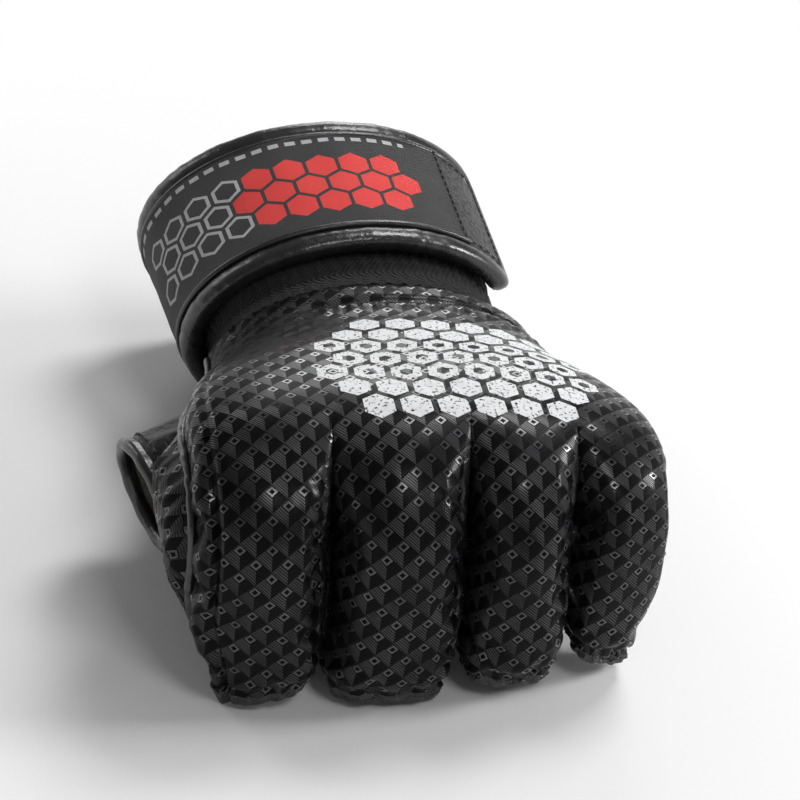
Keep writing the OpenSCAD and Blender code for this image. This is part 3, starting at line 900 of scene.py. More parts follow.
class Tree:
    """A node tree, of a finish or of the room."""

    def __init__(self, tree: bpy.types.NodeTree) -> None:
        """Takes over a tree and empties it."""
        self.tree = tree
        self.tree.nodes.clear()

    def node(self, kind: str, settings: Optional[dict[str, object]] = None,
             inputs: Optional[dict[Union[str, int], object]] = None) -> bpy.types.Node:
        """Adds a node.

        Args:
            kind: Blender's name for the node's type.
            settings: The node's own settings, which are set first.
            inputs: Values or links of its sockets, by name or place.

        Returns:
            The node.
        """
        made = self.tree.nodes.new(kind)
        for key, value in (settings or {}).items():
            setattr(made, key, value)
        for key, value in (inputs or {}).items():
            self.feed(made.inputs[key], value)
        return made

    def feed(self, socket: bpy.types.NodeSocket, value: object) -> None:
        """Links or sets one input.

        Args:
            socket: The input.
            value: What it gets; a colour of three numbers is made opaque.
        """
        if isinstance(value, Socket):
            self.tree.links.new(value.link, socket)
        elif isinstance(value, tuple) and len(value) == 3 and socket.type == "RGBA":
            socket.default_value = (*value, 1.0)
        else:
            socket.default_value = value

    def value(self, node: bpy.types.Node, key: Union[str, int] = 0) -> Socket:
        """One output of a node, by name or place."""
        return Socket(self, node.outputs[key])

    def math(self, operation: str, *values: Value) -> Socket:
        """One Math node on the given values."""
        return self.value(self.node("ShaderNodeMath", {"operation": operation}, dict(enumerate(values))))

    def seen(self) -> Socket:
        """1 for the eye's own rays and those by way of a mirror or a glass, else 0."""
        rays = self.node("ShaderNodeLightPath")
        return sum(self.value(rays, f"Is {kind} Ray") for kind in ("Camera", "Glossy", "Transmission")).smaller(1.0)

    def blend(self, share: Socket, low: bpy.types.Node, high: bpy.types.Node) -> Socket:
        """Mixes two shader nodes by a share."""
        inputs = {0: share, 1: self.value(low), 2: self.value(high)}
        return self.value(self.node("ShaderNodeMixShader", inputs=inputs))


class Shader(Tree):
    """The node tree of one finish, round a Principled shader."""

    def __init__(self, name: str, fixed: dict[str, object]) -> None:
        """Starts a material.

        Args:
            name: Name of the finish.
            fixed: Values that are alike all over the surface, by the shader's socket names.
        """
        self.material = bpy.data.materials.new(name)
        self.material.use_nodes = True
        super().__init__(self.material.node_tree)
        self.surface = self.node("ShaderNodeBsdfPrincipled", inputs=fixed)
        self.output = self.node("ShaderNodeOutputMaterial", inputs={"Surface": self.value(self.surface)})
        lay = self.node("ShaderNodeAttribute", {"attribute_name": LAY, "attribute_type": "GEOMETRY"})
        self.lay = self.value(lay, "Vector")
        parts = self.node("ShaderNodeSeparateXYZ", inputs={"Vector": self.lay})
        self.u, self.v = (self.value(parts, key) for key in ("X", "Y"))

    def colour(self, share: Value, low: object, high: object) -> Socket:
        """Mixes two colours by a share."""
        return self.value(self.node("ShaderNodeMix", {"data_type": "RGBA"}, {0: share, 6: low, 7: high}), 2)

    def stretched(self, wide: float, long: float) -> Socket:
        """The lay, drawn out by two factors."""
        inputs = {0: self.lay, 1: (wide, long, 1.0)}
        return self.value(self.node("ShaderNodeVectorMath", {"operation": "MULTIPLY"}, inputs))

    def noise(self, pitch: float, detail: float = 3.0, lay: Optional[Socket] = None) -> Socket:
        """Cloudy noise from 0 to 1.

        Args:
            pitch: Distance between two clouds, in millimetres.
            detail: Number of finer layers.
            lay: Where it is read; the surface's own lay if not given.

        Returns:
            The noise.
        """
        inputs = {"Vector": lay or self.lay, "Scale": 1.0 / pitch, "Detail": detail}
        return self.value(self.node("ShaderNodeTexNoise", {"noise_dimensions": "2D"}, inputs))

    def pebbles(self, pitch: float) -> Socket:
        """Cells scattered as in the grain of leather.

        Args:
            pitch: Distance between two cells, in millimetres.

        Returns:
            The distance from the nearest cell's middle.
        """
        settings = {"voronoi_dimensions": "2D", "feature": "SMOOTH_F1"}
        return self.value(self.node("ShaderNodeTexVoronoi", settings, {"Vector": self.lay, "Scale": 1.0 / pitch}),
                          "Distance")

    def whiten(self, near: float, far: float) -> None:
        """Shows the surface plain white to the eye and to mirrors, but lit and shadowed as it is near the middle.

        Args:
            near: Distance from the middle up to which it is as lit, in metres.
            far: Distance from which it is white.
        """
        place = self.value(self.node("ShaderNodeTexCoord"), "Object")
        length = self.node("ShaderNodeVectorMath", {"operation": "LENGTH"}, {0: place})
        away = self.value(length, "Value").ease(near, far)
        glow = self.node("ShaderNodeEmission", inputs={"Color": (1.0, 1.0, 1.0), "Strength": 1.0})
        self.feed(self.output.inputs["Surface"], self.blend(self.seen() * away, self.surface, glow))

    def dress(self, height: Socket, **varying: Socket) -> bpy.types.Material:
        """Feeds the relief and the values that vary over the surface.

        Args:
            height: Relief in millimetres.
            varying: Sockets for the shader's inputs, with underscores for spaces in their names.

        Returns:
            The finished material.
        """
        bump = self.node("ShaderNodeBump", inputs={"Strength": 1.0, "Distance": MM, "Height": height})
        self.feed(self.surface.inputs["Normal"], self.value(bump))
        for key, value in varying.items():
            self.feed(self.surface.inputs[key.replace("_", " ")], value)
        return self.material


def honeycomb(pitch: float, u: Socket, v: Socket) -> tuple[Socket, Socket, Socket]:
    """Six-sided cells, for a plain printed or woven design.

    Args:
        pitch: Width of a cell, in millimetres.
        u: Place across.
        v: Place along.

    Returns:
        The distance from the cell's middle, 0.5 at its edge, and the middle's two places in millimetres.
    """
    tall = math.sqrt(3.0)
    x, y = u / pitch, v / pitch
    ax, ay = x % 1.0 - 0.5, y % tall - tall / 2
    bx, by = (x - 0.5) % 1.0 - 0.5, (y - tall / 2) % tall - tall / 2
    near = (ax * ax + ay * ay) < (bx * bx + by * by)
    gx, gy = bx + near * (ax - bx), by + near * (ay - by)
    wide, high = abs(gx), abs(gy)
    edge = wide.larger(wide * 0.5 + high * (tall / 2))
    return edge, (x - gx) * pitch, (y - gy) * pitch


# Finishes: pitches and heights in millimetres, the rest as shares


FINE = 4.0
BLACK: Colour = (0.006, 0.006, 0.007)


@dataclass(frozen=True)
class Finish:
    """A finish that is made once and then shared."""

    name: str

    def material(self) -> bpy.types.Material:
        """The finish's material."""
        return bpy.data.materials.get(self.name) or self.make()

    def make(self) -> bpy.types.Material:
        """Builds the material."""
        raise NotImplementedError


@dataclass(frozen=True)
class EmbossedLeather(Finish):
    """Black coated leather pressed with lozenges, each split in two ribbed halves below a small framed stud."""

    cell: Pair = (7.2, 6.6)
    relief: float = 1.0
    tilt: float = 0.75
    ribs: float = 9.0
    rib_height: float = 0.06
    rib_glint: float = 0.08
    lit_glint: float = 0.45
    # Share by which the near ribbed halves are painted lighter: painted light, as if the lamp fell on them.
    lit_wear: float = 0.9
    stud_place: float = 0.75
    stud_half: float = 0.22
    stud_depth: float = 0.3
    frame_place: float = 0.145
    frame_half: float = 0.045
    frame_height: float = 0.12
    grain: float = 0.55
    grain_height: float = 0.03
    rub: float = 14.0
    rub_range: Pair = (0.35, 0.65)
    rub_least: float = 0.35
    tone: Colour = (0.003, 0.003, 0.0036)
    # Lighter colour of the marks: wear and a painted glint on the frame lines, painted light on the near ribbed
    # halves.
    worn: Colour = (0.068, 0.068, 0.072)
    specular: float = 0.05
    gloss: float = 0.3
    gloss_change: float = 0.12
    coat: float = 0.9
    coat_gloss: float = 0.2
    printed: bool = False
    print_centre: Pair = (15.5, -19.0)
    print_half: Pair = (34.0, 24.0)
    print_square: float = 4.0
    print_cell: float = 8.6
    print_fill: float = 0.41
    print_core: float = 0.17
    core_rows: float = 1.3
    flake: float = 0.8
    flake_range: Pair = (0.33, 0.4)
    ink: Colour = (0.74, 0.75, 0.76)
    ink_rough: float = 0.25
    ink_fill: float = 0.55
    ink_height: float = 0.05

    def make(self) -> bpy.types.Material:
        """Builds the leather, with a printed field of cells if it has one.

        Returns:
            The material.
        """
        shader = Shader(self.name, {"Specular IOR Level": self.specular, "Coat Roughness": self.coat_gloss})
        height, shine, mark = self.pattern(shader)
        grain = shader.pebbles(self.grain)
        cloud = shader.noise(self.rub)
        rubbed = self.rub_least + cloud.ease(*self.rub_range) * (1.0 - self.rub_least)
        # The marks take the lighter colour, varied by cloudy rubbing: partly wear, partly painted glint and painted
        # light.
        colour = shader.colour(mark * rubbed, self.tone, self.worn)
        rough = self.gloss + cloud * self.gloss_change - shine * self.gloss_change
        height = height * self.relief + grain * self.grain_height
        coat = shine * self.coat
        if self.printed:
            ink = self.print_mask(shader)
            colour = shader.colour(ink, colour, self.ink)
            rough = rough + ink * self.ink_rough
            height = height * (1.0 - ink * self.ink_fill) + ink * self.ink_height
            coat = coat * (1.0 - ink)
        return shader.dress(height, Base_Color=colour, Roughness=rough, Coat_Weight=coat)

    def pattern(self, shader: Shader) -> tuple[Socket, Socket, Socket]:
        """Works out the pressed pattern.

        Args:
            shader: The finish's tree.

        Returns:
            The relief in millimetres, the share of extra shine and the share of lighter colour, which is wear and a
            painted glint on the raised lines and painted light on the near ribbed halves.
        """
        wide, high = self.cell
        right, up = shader.u / wide, shader.v / -high
        a, b = (up + right).fract(), (up - right).fract()
        far = a > b
        stud = abs(a - self.stud_place).larger(abs(b - self.stud_place))
        frame_line = abs(stud - self.frame_place) < self.frame_half
        ground = stud > self.stud_half
        near_ribs, far_ribs = (a * self.ribs).zigzag(), (b * self.ribs).zigzag()
        near_half, far_half = (1.0 - far) * ground, far * ground
        slope = far_half * (b - 1.0) * self.tilt - near_half * a * self.tilt
        ribs = near_half * near_ribs + far_half * far_ribs
        height = slope + ribs * self.rib_height + frame_line * self.frame_height - (1.0 - ground) * self.stud_depth
        # The near ribbed halves get extra shine and are painted lighter as painted light; the frame lines are painted
        # lighter for wear and a painted glint.
        lit = near_half * near_ribs
        return height, frame_line + ribs * self.rib_glint + lit * self.lit_glint, frame_line + lit * self.lit_wear

    def print_mask(self, shader: Shader) -> Socket:
        """Works out where the white ink lies, in a worn field of six-sided cells.

        Args:
            shader: The finish's tree.

        Returns:
            The share of ink.
        """
        u, v = shader.u - self.print_centre[0], shader.v - self.print_centre[1]
        edge, cell_u, cell_v = honeycomb(self.print_cell, u, v)
        reach_u, reach_v = cell_u / self.print_half[0], cell_v / self.print_half[1]
        inside = (reach_u**self.print_square + reach_v**self.print_square) < 1.0
        filled = edge < self.print_fill
        core = (edge < self.print_core) * (abs(cell_v) < self.print_cell * self.core_rows)
        worn = shader.noise(self.flake, FINE).ease(*self.flake_range)
        return inside * filled * (1.0 - core) * worn


@dataclass(frozen=True)
class GrainLeather(Finish):
    """Plain black leather with a fine grain and soft creases."""

    tone: Colour = BLACK
    worn: Colour = (0.018, 0.018, 0.0195)
    wear: float = 0.4
    gloss: float = 0.34
    specular: float = 0.34
    grain: float = 0.8
    grain_rough: float = 0.08
    relief: float = 0.05
    crease: float = 0.12
    crease_pitch: float = 3.0
    crease_edge: float = 4.0
    drawn: Pair = (1.0, 1.0)
    cloud: float = 11.0
    cloud_rough: float = 0.16

    def make(self) -> bpy.types.Material:
        """Builds the leather.

        Returns:
            The material.
        """
        shader = Shader(self.name, {"Specular IOR Level": self.specular})
        pebble = shader.pebbles(self.grain)
        folds = shader.noise(self.crease_pitch, lay=shader.stretched(*self.drawn))
        ridge = 1.0 - abs(folds - 0.5) * self.crease_edge
        cloud = shader.noise(self.cloud)
        height = pebble * self.relief - ridge.larger(0.0) * self.crease
        colour = shader.colour(pebble * self.wear + cloud * self.wear, self.tone, self.worn)
        rough = self.gloss + cloud * self.cloud_rough - pebble * self.grain_rough
        return shader.dress(height, Base_Color=colour, Roughness=rough)


@dataclass(frozen=True)
class RibKnit(Finish):
    """Black stretch knit whose ribs run along the wrist."""

    rib: float = 1.5
    rib_height: float = 0.25
    stitch: float = 0.9
    stitch_lean: float = 1.4
    stitch_height: float = 0.12
    fuzz: float = 0.35
    fuzz_height: float = 0.05
    fuzz_share: float = 0.3
    tone: Colour = BLACK
    lit: Colour = (0.02, 0.02, 0.022)
    rough: float = 0.72
    fuzz_rough: float = 0.2
    specular: float = 0.2
    sheen: float = 0.12
    sheen_rough: float = 0.5

    def make(self) -> bpy.types.Material:
        """Builds the knit.

        Returns:
            The material.
        """
        shader = Shader(self.name, {"Specular IOR Level": self.specular, "Sheen Weight": self.sheen,
                                    "Sheen Roughness": self.sheen_rough})
        lean = abs((shader.u / self.rib).fract() - 0.5)
        loop = 1.0 - ((shader.v / self.stitch) + lean * self.stitch_lean).zigzag()
        rib = 1.0 - lean * lean * 4.0
        fuzz = shader.noise(self.fuzz)
        height = rib * self.rib_height + loop * rib * self.stitch_height + fuzz * self.fuzz_height
        share = loop * rib * (1.0 - self.fuzz_share) + fuzz * self.fuzz_share
        colour = shader.colour(share, self.tone, self.lit)
        return shader.dress(height, Base_Color=colour, Roughness=self.rough + fuzz * self.fuzz_rough)


@dataclass(frozen=True)
class PlainWeave(Finish):
    """Woven cloth of two crossing yarns."""

    yarn: float = 0.7
    yarn_height: float = 0.14
    slub: float = 1.6
    slub_height: float = 0.06
    tone: Colour = (0.16, 0.145, 0.12)
    lit: Colour = (0.33, 0.305, 0.26)
    rough: float = 0.75
    slub_rough: float = 0.2
    specular: float = 0.2
    sheen: float = 0.15

    def make(self) -> bpy.types.Material:
        """Builds the cloth.

        Returns:
            The material.
        """
        shader = Shader(self.name, {"Specular IOR Level": self.specular, "Sheen Weight": self.sheen})
        turn = math.pi / self.yarn
        weft, warp = (shader.u * turn).sine(), (shader.v * turn).sine()
        over = (weft * warp) * 0.5 + 0.5
        slub = shader.noise(self.slub)
        colour = shader.colour(over * 0.5 + slub * 0.5, self.tone, self.lit)
        return shader.dress(over * self.yarn_height + slub * self.slub_height, Base_Color=colour,
                            Roughness=self.rough + slub * self.slub_rough)


@dataclass(frozen=True)
class BrushedPile(Finish):
    """Dark pile for hook tape, brushed into short clumps."""

    clump: float = 1.1
    height: float = 0.45
    fibre: float = 0.3
    fibre_height: float = 0.15
    brushed: Pair = (1.0, 0.45)
    shares: Triple = (0.6, 0.7, 0.3)
    tone: Colour = (0.008, 0.008, 0.009)
    lit: Colour = (0.055, 0.055, 0.058)
    rough: float = 0.6
    fibre_rough: float = 0.3
    specular: float = 0.3
    sheen: float = 0.4
    sheen_rough: float = 0.4

    def make(self) -> bpy.types.Material:
        """Builds the pile.

        Returns:
            The material.
        """
        shader = Shader(self.name, {"Specular IOR Level": self.specular, "Sheen Weight": self.sheen,
                                    "Sheen Roughness": self.sheen_rough})
        clumps = shader.noise(self.clump, FINE)
        fibres = shader.noise(self.fibre, lay=shader.stretched(*self.brushed))
        of_clumps, of_fibres, dark = self.shares
        colour = shader.colour((clumps * of_clumps + fibres * of_fibres - dark).larger(0.0), self.tone, self.lit)
        return shader.dress(clumps * self.height + fibres * self.fibre_height, Base_Color=colour,
                            Roughness=self.rough + fibres * self.fibre_rough)


@dataclass(frozen=True)
class TwillLabel(Finish):
    """Black twill label woven with a red field of cells, white outlined cells and a row of white dashes."""

    twill: float = 0.62
    twill_height: float = 0.09
    woven_height: float = 0.12
    slub: float = 0.9
    slub_height: float = 0.03
    tone: Colour = (0.007, 0.007, 0.008)
    lit: Colour = (0.03, 0.03, 0.032)
    lit_shares: Pair = (0.6, 0.3)
    red: Colour = (0.8, 0.03, 0.024)
    red_least: float = 0.78
    white: Colour = (0.52, 0.52, 0.54)
    white_least: float = 0.7
    cell: float = 8.2
    cell_shift: float = 1.5
    cell_fill: float = 0.44
    red_run: Pair = (-19.0, 28.0)
    white_run: Pair = (28.0, 56.0)
    half_band: float = 12.0
    outline_place: float = 0.38
    outline_half: float = 0.055
    outline_band: float = 0.8
    dash: float = 4.2
    dash_fill: float = 0.62
    dash_half: float = 0.75
    dash_run: Pair = (-20.0, 62.0)
    dash_place: float = 15.6
    rough: float = 0.6
    slub_rough: float = 0.2
    red_gloss: float = 0.08
    specular: float = 0.35
    sheen: float = 0.1

    def make(self) -> bpy.types.Material:
        """Builds the label.

        Returns:
            The material.
        """
        shader = Shader(self.name, {"Specular IOR Level": self.specular, "Sheen Weight": self.sheen})
        u, v = shader.u, shader.v
        ribs = ((u + v) / self.twill).zigzag()
        slub = shader.noise(self.slub)
        edge, cell_u, cell_v = honeycomb(self.cell, u, v + self.cell_shift)
        banded = abs(cell_v) < self.half_band
        red = banded * (edge < self.cell_fill) * cell_u.within(*self.red_run)
        outline = (abs(edge - self.outline_place) < self.outline_half) * (
            abs(cell_v) < self.half_band * self.outline_band)
        white = outline * cell_u.within(*self.white_run)
        dash = ((u / self.dash).fract() < self.dash_fill) * (abs(v - self.dash_place) < self.dash_half)
        dash = dash * u.within(*self.dash_run)
        of_ribs, of_slub = self.lit_shares
        colour = shader.colour(ribs * of_ribs + slub * of_slub, self.tone, self.lit)
        colour = shader.colour(red * (self.red_least + ribs * (1.0 - self.red_least)), colour, self.red)
        lines = white.larger(dash) * (self.white_least + slub * (1.0 - self.white_least))
        colour = shader.colour(lines, colour, self.white)
        woven = red.larger(white).larger(dash)
        height = ribs * self.twill_height + woven * self.woven_height + slub * self.slub_height
        rough = self.rough + slub * self.slub_rough - red * self.red_gloss
        return shader.dress(height, Base_Color=colour, Roughness=rough)


@dataclass(frozen=True)
class TwistedThread(Finish):
    """Black sewing thread, laid up of fine strands."""

    strand: float = 0.45
    slant: float = 0.8
    height: float = 0.12
    tone: Colour = (0.02, 0.02, 0.022)
    lit: Colour = (0.08, 0.08, 0.085)
    rough: float = 0.45
    strand_rough: float = 0.2
    specular: float = 0.4

    def make(self) -> bpy.types.Material:
        """Builds the thread.

        Returns:
            The material.
        """
        shader = Shader(self.name, {"Specular IOR Level": self.specular})
        strand = ((shader.u + shader.v * self.slant) / self.strand).zigzag()
        colour = shader.colour(strand, self.tone, self.lit)
        return shader.dress(strand * self.height, Base_Color=colour, Roughness=self.rough + strand * self.strand_rough)


PAD_LEATHER = EmbossedLeather("embossed_pad_leather")
BACK_LEATHER = EmbossedLeather("printed_back_leather", printed=True)
SIDE_LEATHER = EmbossedLeather("crinkled_side_leather", relief=0.6, gloss=0.34)
GROOVE_LEATHER = GrainLeather("groove_leather", gloss=0.2, crease=0.15)
# The hem's lighter worn colour is partly wear and partly a painted sheen on its gathered folds.
HEM_LEATHER = GrainLeather("gathered_hem_leather", worn=(0.035, 0.035, 0.037), gloss=0.16, specular=0.6, crease=0.4,
                           crease_pitch=3.4, drawn=(1.3, 0.8))
ROLLED_LEATHER = GrainLeather("rolled_edge_leather", gloss=0.26, specular=0.7, grain=0.5, relief=0.025, crease=0.05)
PALM_LEATHER = GrainLeather("soft_palm_leather", gloss=0.5, grain=1.1, relief=0.07, crease=0.18, crease_pitch=5.0)
THUMB_LEATHER = GrainLeather("thumb_loop_leather", gloss=0.4, grain=0.7, crease=0.16, crease_pitch=4.0)
CUFF_KNIT = RibKnit("stretch_cuff_knit")
LINING_CLOTH = PlainWeave("plain_lining_cloth")
GROOVE_LINING = PlainWeave("dark_groove_lining", tone=(0.01, 0.01, 0.011), lit=(0.03, 0.03, 0.032))
STRAP_LABEL = TwillLabel("woven_strap_label")
LOOP_PILE = BrushedPile("brushed_loop_pile")
HOOK_TAPE = BrushedPile("short_hook_tape", clump=0.7, height=0.25)
SEAM_THREAD = TwistedThread("black_seam_thread")


# Solids and pieces


FIRST, LAST = slice(0, -1), slice(1, None)
CORNERS = ((FIRST, FIRST), (FIRST, LAST), (LAST, LAST), (LAST, FIRST))


def cornered(grid: Array) -> Array:
    """What a grid holds at the four corners of each of its cells, on a third axis."""
    return np.stack([grid[corner] for corner in CORNERS], axis=2)


@dataclass
class Solid:
    """Points and faces of one closed piece, with the lay of its surface at each face's corners."""

    points: Array
    faces: list[list[int]]
    lay: Array
    marks: list[int]

    @classmethod
    def layer(cls, outer: Array, inner: Array, lay: Array, looped: bool = False, keep: Optional[Array] = None,
              marks: Optional[Array] = None, back: int = 0, rim: Optional[int] = None) -> "Solid":
        """A closed layer between two grids of one size.

        Args:
            outer: Points of the outer face, as rows by columns.
            inner: Points of the inner face.
            lay: Two lengths at each point; a looped layer has one more row of them.
            looped: Whether the last row joins the first.
            keep: Which cells of the grid are there; all if not given.
            marks: Which of the piece's finishes each outer cell has; the first if not given.
            back: Which finish the inner face has.
            rim: Which finish the edges have; the inner face's if not given.

        Returns:
            The solid.
        """
        half = outer.shape[0] * outer.shape[1]
        index = np.arange(half).reshape(outer.shape[:2])
        index = closed(index) if looped else index
        shape = (len(index) - 1, outer.shape[1] - 1)
        keep = np.ones(shape, bool) if keep is None else keep
        marks = np.zeros(shape, int) if marks is None else marks
        quads, laid = cornered(index)[keep], cornered(lay)[keep]
        thick = np.linalg.norm(outer - inner, axis=-1).ravel()
        around = np.pad(keep, 1)
        if looped:
            around[0, 1:-1], around[-1, 1:-1] = keep[-1], keep[0]
        beyond = [around[:-2, 1:-1], around[1:-1, 2:], around[2:, 1:-1], around[1:-1, :-2]]
        faces, lays = [quads, quads[:, ::-1] + half], [laid, laid[:, ::-1]]
        for k, neighbour in enumerate(beyond):
            bare, after = ~neighbour[keep], (k + 1) % 4
            first, second = quads[bare, k], quads[bare, after]
            faces.append(np.stack([second, first, first + half, second + half], 1))
            edge = laid[bare][:, [after, k, k, after]]
            edge[:, 2:, 1 - k % 2] += thick[second, None]
            lays.append(edge)
        every = np.concatenate(faces)
        marked = np.full(len(every), back if rim is None else rim)
        marked[: 2 * len(quads)] = np.append(marks[keep], np.full(len(quads), back))
        used, compact = np.unique(every, return_inverse=True)
        points = np.concatenate([outer.reshape(-1, 3), inner.reshape(-1, 3)])[used]
        solid = cls(points, compact.reshape(-1, 4).tolist(), np.concatenate(lays).reshape(-1, 2), marked.tolist())
        return solid.outward()

    @classmethod
    def cord(cls, rings: Array, looped: bool = False) -> "Solid":
        """A closed cord through rings of points.

        Args:
            rings: Points, as rings by points in a ring.
            looped: Whether the last ring joins the first.

        Returns:
            The solid.
        """
        index = np.arange(rings.shape[0] * rings.shape[1]).reshape(rings.shape[:2])
        grid, index = (closed(rings), closed(index)) if looped else (rings, index)
        grid, index = (np.concatenate([part, part[:, :1]], axis=1) for part in (grid, index))
        lay = packed(path_length(grid.mean(axis=1))[:, None], path_length(grid))
        faces = cornered(index).reshape(-1, 4).tolist()
        lays = [cornered(lay).reshape(-1, 2)]
        if not looped:
            faces += [index[0, :-1][::-1].tolist(), index[-1, :-1].tolist()]
            lays += [lay[0, :-1][::-1], lay[-1, :-1]]
        return cls(rings.reshape(-1, 3), faces, np.concatenate(lays), [0] * len(faces)).outward()

    @classmethod
    def joined(cls, parts: Sequence["Solid"]) -> "Solid":
        """Several solids as one piece, such as a row of stitches.

        Args:
            parts: The solids.

        Returns:
            The one solid.
        """
        shifts = np.cumsum([0] + [len(part.points) for part in parts])
        faces = [[k + int(shift) for k in face] for part, shift in zip(parts, shifts) for face in part.faces]
        points, lay = (np.concatenate([getattr(part, key) for part in parts]) for key in ("points", "lay"))
        return cls(points, faces, lay, [mark for part in parts for mark in part.marks])

    def outward(self) -> "Solid":
        """Turns the faces outwards.

        Returns:
            The same solid, or a turned one.
        """
        fans = [(face[0], face[k], face[k + 1]) for face in self.faces for k in range(1, len(face) - 1)]
        a, b, c = (self.points[[fan[k] for fan in fans]] for k in range(3))
        if np.einsum("ij,ij->", a, np.cross(b, c)) >= 0:
            return self
        ends = np.cumsum([0] + [len(face) for face in self.faces])
        order = np.concatenate([np.arange(end - 1, start - 1, -1) for start, end in zip(ends[:-1], ends[1:])])
        return Solid(self.points, [face[::-1] for face in self.faces], self.lay[order], self.marks)

    def mesh(self, name: str, form: GloveForm, sharp: float) -> bpy.types.Mesh:
        """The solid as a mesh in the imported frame.

        Args:
            name: The mesh's name.
            form: The glove's form, which knows the frame.
            sharp: Angle in degrees past which an edge stays sharp.

        Returns:
            The mesh.
        """
        made = bpy.data.meshes.new(name)
        made.from_pydata(form.place(self.points).tolist(), [], self.faces)
        lay = made.attributes.new(LAY, "FLOAT_VECTOR", "CORNER")
        lay.data.foreach_set("vector", np.pad(self.lay, ((0, 0), (0, 1))).astype(np.float32).ravel())
        made.polygons.foreach_set("material_index", np.array(self.marks, np.int32))
        made.polygons.foreach_set("use_smooth", np.ones(len(self.faces), bool))
        made.set_sharp_from_angle(angle=math.radians(sharp))
        made.update()
        return made


def rim_of(shape: tuple[int, ...]) -> Array:
    """1 along the edges of a grid, else 0."""
    inside = np.zeros((shape[0] - 2, shape[1] - 2))
    return np.pad(inside, 1, constant_values=1.0)


def between(count: int, picked: Array) -> Array:
    """Weights that fill in smoothly between picked places.

    Args:
        count: Number of places in all.
        picked: The picked ones, in order.

    Returns:
        The weights, as places by picked places.
    """
    plain = np.stack([np.interp(np.arange(count), picked, one) for one in np.eye(len(picked))], axis=1)
    padded = np.concatenate([plain[:1], plain, plain[-1:]])
    return (padded[:-2] + 2.0 * plain + padded[2:]) / 4.0


@dataclass(frozen=True)
class Settling:
    """Lets a cover settle as cloth: its filling presses it out, sewn lines hold it, and it is slack beside them."""

    metres: float = 0.02
    frames: int = 20
    step: int = 2
    pressure: float = 0.8
    stretch: float = 15.0
    bending: float = 5.0
    damping: float = 4.0
    slack: float = 0.12
    limit: float = 2.0
    sinking: float = 0.35

    def settle(self, outer: Array, inner: Array, held: Array, loose: Array) -> Array:
        """Settles the outer face of a layer.

        Args:
            outer: Points of the outer face.
            inner: Points of the inner face, which say where outwards is.
            held: Share by which each point is held in place.
            loose: Share of the slack that the cloth has at each point.
        """
        rows, cols = (np.unique(np.append(np.arange(0, count, self.step), count - 1)) for count in outer.shape[:2])
        pick = np.ix_(rows, cols)
        start = outer[pick]
        depth = start - inner[pick]
        normal = np.cross(np.gradient(start, axis=1), np.gradient(start, axis=0))
        push = -self.pressure * float(np.sign(np.sum(normal * depth)))
        shift = self.simulate(start, push, held[pick], loose[pick]) - start
        length = np.maximum(np.linalg.norm(shift, axis=-1, keepdims=True), TINY)
        shift = shift * np.minimum(1.0, self.limit / length)
        outward = unit(depth)
        sunk = -np.sum(shift * outward, axis=-1) - self.sinking * np.linalg.norm(depth, axis=-1)
        shift = shift + outward * np.maximum(sunk, 0.0)[..., None]
        return outer + np.einsum("ir,jc,rck->ijk", between(outer.shape[0], rows), between(outer.shape[1], cols), shift)

    def simulate(self, points: Array, push: float, held: Array, loose: Array) -> Array:
        """Runs the cloth on a grid of its own, which is then removed.

        Args:
            points: The grid's points, in millimetres.
            push: Pressure along the grid's own normals.
            held: Share by which each point is held.
            loose: Share of the slack at each point.

        Returns:
            The points where they end.
        """
        scene = bpy.context.scene
        index = np.arange(held.size).reshape(held.shape)
        faces = cornered(index)[..., [0, 3, 2, 1]].reshape(-1, 4)
        mesh = bpy.data.meshes.new("settling_cover")
        mesh.from_pydata((points.reshape(-1, 3) * self.metres).tolist(), [], faces.tolist())
        piece = bpy.data.objects.new("settling_cover", mesh)
        scene.collection.objects.link(piece)
        for name, weights in (("held", held), ("taut", 1.0 - loose)):
            group = piece.vertex_groups.new(name=name)
            for k, weight in enumerate(weights.ravel()):
                group.add([k], float(weight), "REPLACE")
        cloth = piece.modifiers.new("settling", "CLOTH").settings
        cloth.tension_stiffness = cloth.compression_stiffness = cloth.shear_stiffness = self.stretch
        cloth.bending_stiffness = self.bending
        cloth.air_damping = self.damping
        cloth.effector_weights.gravity = 0.0
        cloth.use_pressure, cloth.uniform_pressure_force = True, push
        cloth.vertex_group_mass, cloth.vertex_group_shrink = "held", "taut"
        cloth.shrink_min, cloth.shrink_max = -self.slack, 0.0
        for step in range(1, self.frames + 1):
            scene.frame_set(step)
        solved = piece.evaluated_get(bpy.context.evaluated_depsgraph_get()).data
        ended = np.empty(points.size)
        solved.vertices.foreach_get("co", ended)
        scene.frame_set(1)
        bpy.data.objects.remove(piece)
        bpy.data.meshes.remove(mesh)
        ended = ended.reshape(points.shape) / self.metres
        log.info("settled a cover of %d points by up to %.1f mm", held.size, np.abs(ended - points).max())
        return ended


PAD_CLOTH = Settling()
WALL_CLOTH = Settling(pressure=0.3, slack=0.05, limit=1.4)


@dataclass(frozen=True)
class Fold:
    """Two bodies that a soft piece lies between, and the line of the bend between them; the piece stays as made."""

    first: str
    second: str
    start: Place
    end: Place


Hold = Union[str, Fold]


